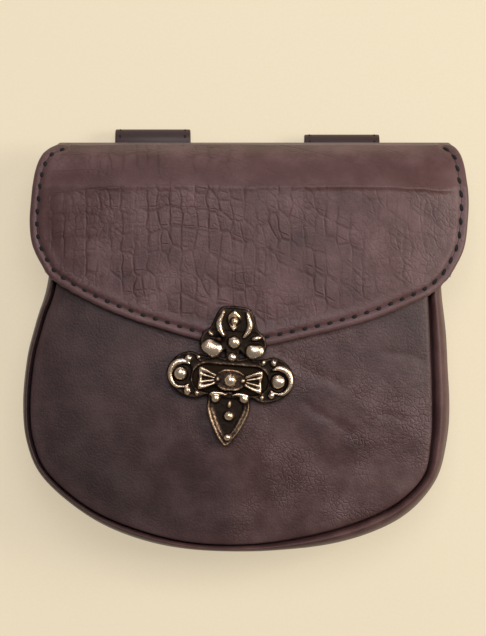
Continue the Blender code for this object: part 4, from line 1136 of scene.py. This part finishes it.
# %% The bow and its ball
BALL_RADIUS = 2.65
BOW_FIELD, BOW_TOP = BOW_UNDER + 0.7, BOW_UNDER + 1.5
BALL_WEAR, POST_WEAR = 0.55, -0.2
BOW_QUARTER = [
    (0.00, 0.320), (0.20, 0.305), (0.36, 0.220), (0.46, 0.170), (0.58, 0.215), (0.76, 0.300), (0.90, 0.345),
    (0.945, 0.315), (0.955, 0.150), (0.930, 0.000),
]
BOW_REACH = 14.0
BOW_RIBS = [
    (0.9, 1.1, [(6.4, 1.5, 0.45), (8.0, 2.6, 0.85), (10.0, 3.3, 1.05), (11.9, 3.7, 1.1)]),
    (0.9, 0.9, [(11.9, 1.7, 0.75), (10.4, 1.2, 0.7), (8.8, 0.9, 0.55), (6.8, 0.5, 0.35)]),
    (0.9, 1.1, [(6.4, -1.5, 0.45), (8.0, -2.6, 0.85), (10.0, -3.3, 1.05), (11.9, -3.7, 1.1)]),
    (0.9, 0.9, [(11.9, -1.7, 0.75), (10.4, -1.2, 0.7), (8.8, -0.9, 0.55), (6.8, -0.5, 0.35)]),
    (0.9, 0.9, [(12.6, 4.2, 0.6), (12.5, 2.0, 0.7), (12.3, 0.0, 0.6), (12.5, -2.0, 0.7), (12.6, -4.2, 0.6)]),
    (0.8, 0.3, [(0.0, 4.0, 0.35), (2.8, 3.8, 0.35), (5.0, 2.6, 0.35)]),
    (0.8, 0.3, [(0.0, -4.0, 0.35), (2.8, -3.8, 0.35), (5.0, -2.6, 0.35)]),
]


def bow_face(u, v, inset):
    """Heights of the bow, with a knot bead at the root of each fan."""
    height = mirrored(np.full(u.shape, BOW_FIELD), u, v, BOW_RIBS, BOW_UNDER)
    for side in (1, -1):
        height = dome(height, u, v, side * 5.2, 0.0, 0.9, 0.8, 0, BOW_UNDER + 0.8, 0.9)
    return height


bow_ring = closed_curve(BOW_QUARTER, BOW_REACH, BOW_REACH, both=True)
points, faces, wear = casting(bow_ring, [], bow_face, BOW_UNDER, round_over=0.5)
ball_points, ball_faces = ball(BOW_TOP + 0.4 * BALL_RADIUS, BALL_RADIUS)
post_points, post_faces = drum(POST_RADIUS, foot, BOW_UNDER + 0.6)
bow_points, bow_faces = joined([(points, faces), (ball_points, ball_faces), (post_points, post_faces)])
bow_wear = np.concatenate([wear, np.full(len(ball_points), BALL_WEAR), np.full(len(post_points), POST_WEAR)])
bow = place_cast("turn_bow_cast", bow_points, bow_faces, bow_wear)
print("bow has", len(bow_faces), "faces")

# %% [markdown]
# ## Stitches
# The edges are sewn by hand: an awl makes slanting holes at an even pitch, and a waxed thread dips
# into each. A stitch row repeats one small form along a line, which is what Geometry Nodes are for.
# The line is laid on the finished hide with rays from above, so the thread sits in its groove. The
# same tree makes the holes' painted shade, as dark eggs, and the thread between them from different inputs.

# %% Stitch tree
def socket_id(tree, name):
    """The identifier of a named input of a node tree."""
    return next(s.identifier for s in tree.interface.items_tree if s.name == name and s.in_out == "INPUT")


def build_stitch_tree():
    """Eggs of one size along a line, turned to the line and to the normals stored on it."""
    tree = bpy.data.node_groups.new("stitch_row", "GeometryNodeTree")
    tree.interface.new_socket("Line", in_out="INPUT", socket_type="NodeSocketGeometry")
    for name in ("Pitch", "Length", "Width", "Depth", "Slant"):
        tree.interface.new_socket(name, in_out="INPUT", socket_type="NodeSocketFloat")
    tree.interface.new_socket("Material", in_out="INPUT", socket_type="NodeSocketMaterial")
    tree.interface.new_socket("Stitches", in_out="OUTPUT", socket_type="NodeSocketGeometry")
    start = add(tree, "NodeGroupInput").outputs
    curve = add(tree, "GeometryNodeMeshToCurve", {"Mesh": start["Line"]}).outputs["Curve"]
    even = {"Curve": curve, "Length": start["Pitch"]}
    places = add(tree, "GeometryNodeResampleCurve", even, mode="LENGTH").outputs["Curve"]
    tangent = add(tree, "GeometryNodeInputTangent").outputs["Tangent"]
    stored = add(tree, "GeometryNodeInputNamedAttribute", data_type="FLOAT_VECTOR", Name="up")
    up = stored.outputs["Attribute"]
    along_line = add(tree, "FunctionNodeAlignRotationToVector", {"Vector": tangent}, axis="X")
    upright = {"Rotation": along_line.outputs["Rotation"], "Vector": up}
    turned = add(tree, "FunctionNodeAlignRotationToVector", upright, axis="Z", pivot_axis="X")
    ball = add(tree, "GeometryNodeMeshUVSphere", Segments=12, Rings=8, Radius=0.5)
    sizes = {"X": start["Length"], "Y": start["Width"], "Z": start["Depth"]}
    size = add(tree, "ShaderNodeCombineXYZ", sizes).outputs[0]
    slant = add(tree, "ShaderNodeCombineXYZ", {"Z": start["Slant"]}).outputs[0]
    scaled = add(tree, "GeometryNodeTransform", {"Geometry": ball.outputs["Mesh"], "Scale": size})
    leaned = add(tree, "GeometryNodeTransform", {"Geometry": scaled.outputs[0], "Rotation": slant})
    row = {"Points": places, "Instance": leaned.outputs[0], "Rotation": turned.outputs["Rotation"]}
    laid = add(tree, "GeometryNodeInstanceOnPoints", row)
    solid = add(tree, "GeometryNodeRealizeInstances", {"Geometry": laid.outputs["Instances"]})
    smooth = add(tree, "GeometryNodeSetShadeSmooth", {"Geometry": solid.outputs[0]})
    dressed = {"Geometry": smooth.outputs[0], "Material": start["Material"]}
    coloured = add(tree, "GeometryNodeSetMaterial", dressed)
    add(tree, "NodeGroupOutput", {"Stitches": coloured.outputs[0]})
    return tree


STITCH_TREE = build_stitch_tree()


def stitch_row(name, places, ups, material, pitch, length, width, depth, slant=0.0, lift=0.0):
    """One row of stitches along points on a hide, as a plain mesh."""
    line = np.asarray(places) + np.asarray(ups) * lift
    mesh = bpy.data.meshes.new(name + "_line")
    mesh.from_pydata(line.tolist(), [(k, k + 1) for k in range(len(line) - 1)], [])
    attribute = mesh.attributes.new("up", "FLOAT_VECTOR", "POINT")
    attribute.data.foreach_set("vector", np.ravel(ups).astype(np.float32))
    obj = new_object(name, mesh)
    modifier = obj.modifiers.new("stitches", "NODES")
    modifier.node_group = STITCH_TREE
    values = {"Pitch": pitch, "Length": length, "Width": width, "Depth": depth, "Slant": math.radians(slant)}
    for key, value in values.items():
        modifier[socket_id(STITCH_TREE, key)] = value
    modifier[socket_id(STITCH_TREE, "Material")] = material
    made = bpy.data.meshes.new_from_object(obj.evaluated_get(bpy.context.evaluated_depsgraph_get()))
    obj.modifiers.clear()
    obj.data = made
    made.name = name
    bpy.data.meshes.remove(mesh)
    return obj


RAY_START = 200 * MM


def laid_on(obj, plan_points):
    """Points of a plan dropped onto an object from above, with the normals there."""
    tree = BVHTree.FromObject(obj, bpy.context.evaluated_depsgraph_get())
    places, ups = [], []
    for x, y in plan_points:
        place, normal, _, _ = tree.ray_cast(Vector((x, y, RAY_START)), Vector((0, 0, -1)))
        if place is not None:
            places.append(tuple(place))
            ups.append(tuple(normal))
    ups = np.array(ups)
    for _ in range(3):
        ups[1:-1] = ups[:-2] + ups[1:-1] + ups[2:]
        ups /= np.linalg.norm(ups, axis=1)[:, None]
    return np.array(places), ups


# %% [markdown]
# ## Finishes
# The hides are all one cow leather with one dye, and they look different by how they were stretched and
# by painted shade where they turn from the key light. The flap is cut from the neck, where the growth
# lines make a brickwork of creases. The creases and cracks carry painted shade in red brown, and the
# rubbed tops look grey. The brass was cast, darkened in a bath and then buffed, so its hollows stay
# nearly black and its tops shine. The wear value of the casting, the height over its neighbours, drives
# that change.

# %% Leather finish
# Where colour is laid over the hide, with what, and how much at most: painted shade, strongest at the left,
# red brown tone with painted shade in the hollow over the ridge, and a rubbed paler edge
STAINS_AND_SHADE = [("dim", "#170B09", 0.62), ("hollow", "#4C302B", 0.6), ("edge", "#5E4340", 0.4)]


def leather(name, hollow, tone, rubbed, grain=0.05, web=0.0, web_size=2.6, creased=False, gloss=0.46):
    """A hide with one dye, with painted shade in its cracks and creases. The grain, the web and the web's
    cells are in mm, and gloss is the roughness.
    """
    material, tree, shader = new_material(name)
    flat = add(tree, "ShaderNodeUVMap", uv_map="pattern").outputs["UV"]
    mm = add(tree, "ShaderNodeVectorMath", {0: flat}, operation="SCALE", Scale=1000.0).outputs["Vector"]
    at_mm = {"Vector": mm}
    # A web of fine cracks, in patches, on cells whose places drift a few mm
    shift = add(tree, "ShaderNodeTexNoise", at_mm, noise_dimensions="2D", Scale=0.22, Detail=2.0)
    drift = add(tree, "ShaderNodeVectorMath", {0: shift.outputs["Color"], 2: mm}, operation="MULTIPLY_ADD")
    drift.inputs[1].default_value = (3.0, 3.0, 0.0)
    edges = {"voronoi_dimensions": "2D", "feature": "DISTANCE_TO_EDGE", "Scale": 1.0 / web_size}
    web_at = {"Vector": drift.outputs["Vector"]}
    cells = add(tree, "ShaderNodeTexVoronoi", web_at, **edges).outputs["Distance"]
    soft = {"interpolation_type": "SMOOTHSTEP"}
    crack = add(tree, "ShaderNodeMapRange", {"Value": cells}, From_Max=0.24, **soft).outputs["Result"]
    patch = add(tree, "ShaderNodeTexNoise", at_mm, noise_dimensions="2D", Scale=0.045, Detail=2.0)
    spread = add(tree, "ShaderNodeMapRange", {"Value": patch.outputs["Fac"]}, From_Min=0.38, From_Max=0.62)
    # The crack web is weaker where the painted shade mark is high
    painted_shade_mark = add(tree, "ShaderNodeAttribute", attribute_name="dim").outputs["Fac"]
    fading = {"From_Min": 0.1, "From_Max": 0.6, "To_Min": web, "To_Max": 0.1 * web}
    web_here = add(tree, "ShaderNodeMapRange", {"Value": painted_shade_mark}, **fading).outputs["Result"]
    depths = {0: spread.outputs["Result"], 1: web_here}
    web_deep = add(tree, "ShaderNodeMath", depths, operation="MULTIPLY").outputs[0]
    crack_high = add(tree, "ShaderNodeMath", {0: crack, 1: web_deep}, operation="MULTIPLY").outputs[0]
    # The grain: pebbles about 1 mm wide, with pores between them
    fine = {"noise_dimensions": "2D", "Scale": 2.6, "Detail": 4.0, "Roughness": 0.6}
    pores = add(tree, "ShaderNodeTexNoise", at_mm, **fine).outputs["Fac"]
    pebble = add(tree, "ShaderNodeTexVoronoi", at_mm, voronoi_dimensions="2D", feature="F1", Scale=0.95)
    round_tops = {0: pebble.outputs["Distance"], 1: -grain}
    bead = add(tree, "ShaderNodeMath", round_tops, operation="MULTIPLY").outputs[0]
    rough = add(tree, "ShaderNodeMath", {0: pores, 1: grain, 2: bead}, operation="MULTIPLY_ADD").outputs[0]
    height = add(tree, "ShaderNodeMath", {0: rough, 1: crack_high}, operation="ADD").outputs[0]
    # Painted shade: the colour darkens where the height falls, in the cracks and the creases
    crack_and_crease_shade = add(tree, "ShaderNodeMath", {0: crack_high, 1: 3.0}, operation="MULTIPLY").outputs[0]
    if creased:
        lines = crease_lines(tree)
        sunk = {0: lines, 1: -0.19, 2: height}
        height = add(tree, "ShaderNodeMath", sunk, operation="MULTIPLY_ADD").outputs[0]
        crease_shade_inputs = {0: lines, 1: -0.40, 2: crack_and_crease_shade}
        crack_and_crease_shade = add(tree, "ShaderNodeMath", crease_shade_inputs, operation="MULTIPLY_ADD").outputs[0]
    bump = add(tree, "ShaderNodeBump", {"Height": height}, Distance=MM, Strength=1.0)
    cloudy = {"noise_dimensions": "2D", "Scale": 0.06, "Detail": 6.0, "Roughness": 0.62}
    tint = add(tree, "ShaderNodeTexNoise", at_mm, **cloudy).outputs["Fac"]
    level = add(tree, "ShaderNodeMath", {0: pores, 1: 0.35, 2: tint}, operation="MULTIPLY_ADD").outputs[0]
    level = add(tree, "ShaderNodeMath", {0: crack_and_crease_shade, 1: 0.45, 2: level}, operation="MULTIPLY_ADD").outputs[0]
    # The hollow colour at the dark end of the ramp is painted shade where the cracks and creases pull the
    # level down
    colour = ramp(tree, level, [(0.25, hollow), (0.62, tone), (0.98, rubbed)])
    for mark, stain_and_shade, most in STAINS_AND_SHADE:
        amount = add(tree, "ShaderNodeAttribute", attribute_name=mark).outputs["Fac"]
        share = add(tree, "ShaderNodeMath", {0: amount, 1: most}, operation="MULTIPLY").outputs[0]
        mixed = add(tree, "ShaderNodeMix", {0: share, 6: colour}, data_type="RGBA")
        mixed.inputs[7].default_value = linear(stain_and_shade)
        colour = mixed.outputs[2]
    waxed = add(tree, "ShaderNodeMapRange", {"Value": tint}, To_Min=gloss - 0.06, To_Max=gloss + 0.08)
    tune(shader, Normal=bump.outputs["Normal"], Base_Color=colour, Roughness=waxed.outputs["Result"])
    tune(shader, IOR=1.42, Sheen_Weight=0.05, Sheen_Roughness=0.4, Sheen_Tint=linear("#CFC4E0"))
    return material


def crease_lines(tree):
    """Strength of the flap's creases: a soft brickwork, long upright pleats and the arcs of the rows."""
    place = add(tree, "ShaderNodeUVMap", uv_map="crease").outputs["UV"]
    squeezed = add(tree, "ShaderNodeVectorMath", {0: place}, operation="MULTIPLY")
    squeezed.inputs[1].default_value = (1.0, 0.28, 1.0)
    drift = add(tree, "ShaderNodeTexNoise", {"Vector": place}, noise_dimensions="2D", Scale=0.4, Detail=2.0)
    wave = drift.outputs["Fac"]
    power = add(tree, "ShaderNodeMapRange", {"Value": wave}, From_Min=0.3, From_Max=0.62).outputs["Result"]
    soft = {"interpolation_type": "SMOOTHSTEP"}
    layers = []
    # Each layer: its cells, how uneven they are, how wide a line is beside a cell, and its strength
    tables = [(place, 0.55, 0.15, 0.75), (squeezed.outputs["Vector"], 0.7, 0.24, 0.62)]
    for source, uneven, width, deep in tables:
        edges = {"voronoi_dimensions": "2D", "feature": "DISTANCE_TO_EDGE", "Scale": 1.0}
        cells = add(tree, "ShaderNodeTexVoronoi", {"Vector": source}, Randomness=uneven, **edges)
        reach = {"From_Max": width, "To_Min": deep, "To_Max": 0.0}
        line = add(tree, "ShaderNodeMapRange", {"Value": cells.outputs["Distance"]}, **soft, **reach)
        strength = {0: line.outputs["Result"], 1: power}
        layers.append(add(tree, "ShaderNodeMath", strength, operation="MULTIPLY").outputs[0])
    jointed = add(tree, "ShaderNodeAttribute", attribute_name="jointed").outputs["Fac"]
    both = add(tree, "ShaderNodeMath", {0: layers[0], 1: layers[1]}, operation="ADD").outputs[0]
    joints = add(tree, "ShaderNodeMath", {0: both, 1: jointed}, operation="MULTIPLY").outputs[0]
    # An arc runs along each row's edge
    up = add(tree, "ShaderNodeSeparateXYZ", {0: place}).outputs[1]
    part = add(tree, "ShaderNodeMath", {0: up}, operation="FRACT").outputs[0]
    away = add(tree, "ShaderNodeMath", {0: part, 1: 0.5}, operation="SUBTRACT").outputs[0]
    gap = add(tree, "ShaderNodeMath", {0: away}, operation="ABSOLUTE").outputs[0]
    reach = {"From_Min": 0.43, "From_Max": 0.5, "To_Max": 0.8}
    arc_line = add(tree, "ShaderNodeMapRange", {"Value": gap}, **soft, **reach).outputs["Result"]
    here = add(tree, "ShaderNodeMapRange", {"Value": wave}, From_Min=0.42, From_Max=0.6)
    arc_power = here.outputs["Result"]
    sown = add(tree, "ShaderNodeAttribute", attribute_name="creased").outputs["Fac"]
    arc_sown = add(tree, "ShaderNodeMath", {0: arc_power, 1: sown}, operation="MULTIPLY").outputs[0]
    rows = add(tree, "ShaderNodeMath", {0: arc_line, 1: arc_sown}, operation="MULTIPLY").outputs[0]
    return add(tree, "ShaderNodeMath", {0: joints, 1: rows}, operation="MAXIMUM").outputs[0]


# %% Brass and thread
def worn_brass(name):
    """Cast brass, dark in its hollows and buffed on its tops."""
    material, tree, shader = new_material(name)
    flat = add(tree, "ShaderNodeUVMap", uv_map="pattern").outputs["UV"]
    mm = add(tree, "ShaderNodeVectorMath", {0: flat}, operation="SCALE", Scale=1000.0).outputs["Vector"]
    wear = add(tree, "ShaderNodeAttribute", attribute_name="wear").outputs["Fac"]
    cloudy = {"noise_dimensions": "2D", "Scale": 0.9, "Detail": 5.0, "Roughness": 0.65}
    cloud = add(tree, "ShaderNodeTexNoise", {"Vector": mm}, **cloudy).outputs["Fac"]
    mottled = add(tree, "ShaderNodeMath", {0: cloud, 1: 0.8, 2: wear}, operation="MULTIPLY_ADD").outputs[0]
    spread = {"interpolation_type": "SMOOTHSTEP", "From_Min": 0.16, "From_Max": 1.0}
    bright = add(tree, "ShaderNodeMapRange", {"Value": mottled}, **spread).outputs["Result"]
    colour = ramp(tree, bright, [(0.0, "#2A221C"), (0.3, "#55443A"), (0.62, "#A68A69"), (1.0, "#E8D0B2")])
    rough = add(tree, "ShaderNodeMapRange", {"Value": bright}, To_Min=0.52, To_Max=0.26).outputs["Result"]
    pits = add(tree, "ShaderNodeTexNoise", {"Vector": mm}, noise_dimensions="2D", Scale=1.6, Detail=4.0)
    bump = add(tree, "ShaderNodeBump", {"Height": pits.outputs["Fac"]}, Distance=MM, Strength=0.12)
    tune(shader, Base_Color=colour, Roughness=rough, Metallic=1.0, Normal=bump.outputs["Normal"])
    return material


def plain(name, colour, roughness, metallic=0.0):
    """One colour and one roughness."""
    material, _, shader = new_material(name)
    tune(shader, Base_Color=linear(colour), Roughness=roughness, Metallic=metallic)
    return material


flap_tones = ("#38201D", "#503532", "#684D4B")
flap_leather = leather("flap_leather", *flap_tones, grain=0.05, web=0.06, web_size=2.9, creased=True)
front_leather = leather("front_leather", "#2C1A17", "#452D2A", "#5F4845", grain=0.07, web=0.12, web_size=1.9)
gusset_leather = leather("gusset_leather", "#38201D", "#50332E", "#684A44", grain=0.04, gloss=0.5)
back_leather = leather("back_leather", "#2C1C18", "#3F2B27", "#523D38", grain=0.05)
loop_leather = leather("loop_leather", "#21120F", "#311E1A", "#432F2A", grain=0.05)
brass = worn_brass("old_brass")
dark_brass = plain("dark_brass", "#2A2118", 0.5, 1.0)
# The awl holes are near black eggs of painted shade, for the shadow down in each hole
hole_shade = plain("awl_hole_shade", "#0E0908", 0.9)
thread = plain("waxed_thread", "#241917", 0.6)
for piece, finish in (
    (front_panel, front_leather), (gusset, gusset_leather), (back_panel, back_leather),
    (flap, flap_leather), (loops[0], loop_leather), (loops[1], loop_leather), (cross, brass),
    (bow, brass), (base_plate, dark_brass),
):
    piece.data.materials.clear()
    piece.data.materials.append(finish)

# %% Stitch rows
PITCH, LOOP_PITCH = 5.3 * MM, 3.6 * MM
SEAM_POINTS, SEAM_START, LOOP_SEAM_INSET = 700, 2.5 * MM, 2.2 * MM
THREAD, THREAD_SINK = 0.5 * MM, -0.14 * MM
seam_plan = FLAP_OUTLINE - FLAP_NORMAL * STITCH_INSET
seam_plan = along(seam_plan[seam_plan[:, 1] < FLAP_TOP - SEAM_START], np.linspace(0, 1, SEAM_POINTS))
tip = int(np.argmin(seam_plan[:, 1]))
lowest_left = int(np.argmin(np.abs(seam_plan[:tip, 1] - (side_level + 6 * MM))))
lowest_right = tip + int(np.argmin(np.abs(seam_plan[tip:, 1] - (side_level - 3 * MM))))
stitches = []
# Each zone: its first and last point, and the length and width of its holes in mm
zones = [
    ("left", 0, lowest_left, 2.5, 1.8),
    ("lower", lowest_left, lowest_right, 2.4, 2.1),
    ("right", lowest_right, SEAM_POINTS - 1, 3.4, 1.9),
]
for label, first, last, length, width in zones:
    places, ups = laid_on(flap, seam_plan[first : last + 1])
    size = {"length": length * MM, "width": width * MM, "depth": 1.2 * MM}
    # Painted shade: dark eggs stand for the shadow in the flap's awl holes
    stitches.append(stitch_row("flap_hole_shade_" + label, places, ups, hole_shade, PITCH, slant=18, **size))
places, ups = laid_on(flap, seam_plan)
size = {"pitch": 1.0 * MM, "length": 1.6 * MM, "width": THREAD, "depth": THREAD}
stitches.append(stitch_row("flap_thread", places, ups, thread, lift=THREAD_SINK, **size))
for side, obj in zip((-1, 1), loops):
    centre = LOOP_CENTRE + side * LOOP_SPACING / 2
    top = max(v.co.y for v in obj.data.vertices)
    for edge_side in (-1, 1):
        x = centre + edge_side * (LOOP_WIDTH / 2 - LOOP_SEAM_INSET)
        places, ups = laid_on(obj, [(x, y) for y in np.linspace(50 * MM, top - EDGE_DRESS, 60)])
        name = obj.name.replace("hide", "stitches_") + ("left" if edge_side < 0 else "right")
        # Painted shade: dark eggs stand for the shadow in the loops' awl holes
        stitches.append(stitch_row(name, places, ups, hole_shade, LOOP_PITCH, 1.6 * MM, 0.8 * MM, 0.5 * MM))
for piece in stitches:
    print(piece.name, "has", len(piece.data.polygons), "faces")

# %% Bodies and the construction pieces that they stand for
for piece, node in (
    (front_panel, "front_panel"), (gusset, "gusset"), (back_panel, "back_panel"), (flap, "flap"),
    (loops[0], "belt_loop_left"), (loops[1], "belt_loop_right"), (cross, "clasp_plate"),
    (base_plate, "turn_base"),
):
    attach(piece, "bag")
    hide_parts(node)
for piece in stitches:
    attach(piece, "bag")
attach(bow, "turn_bow")
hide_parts("turn_bow")
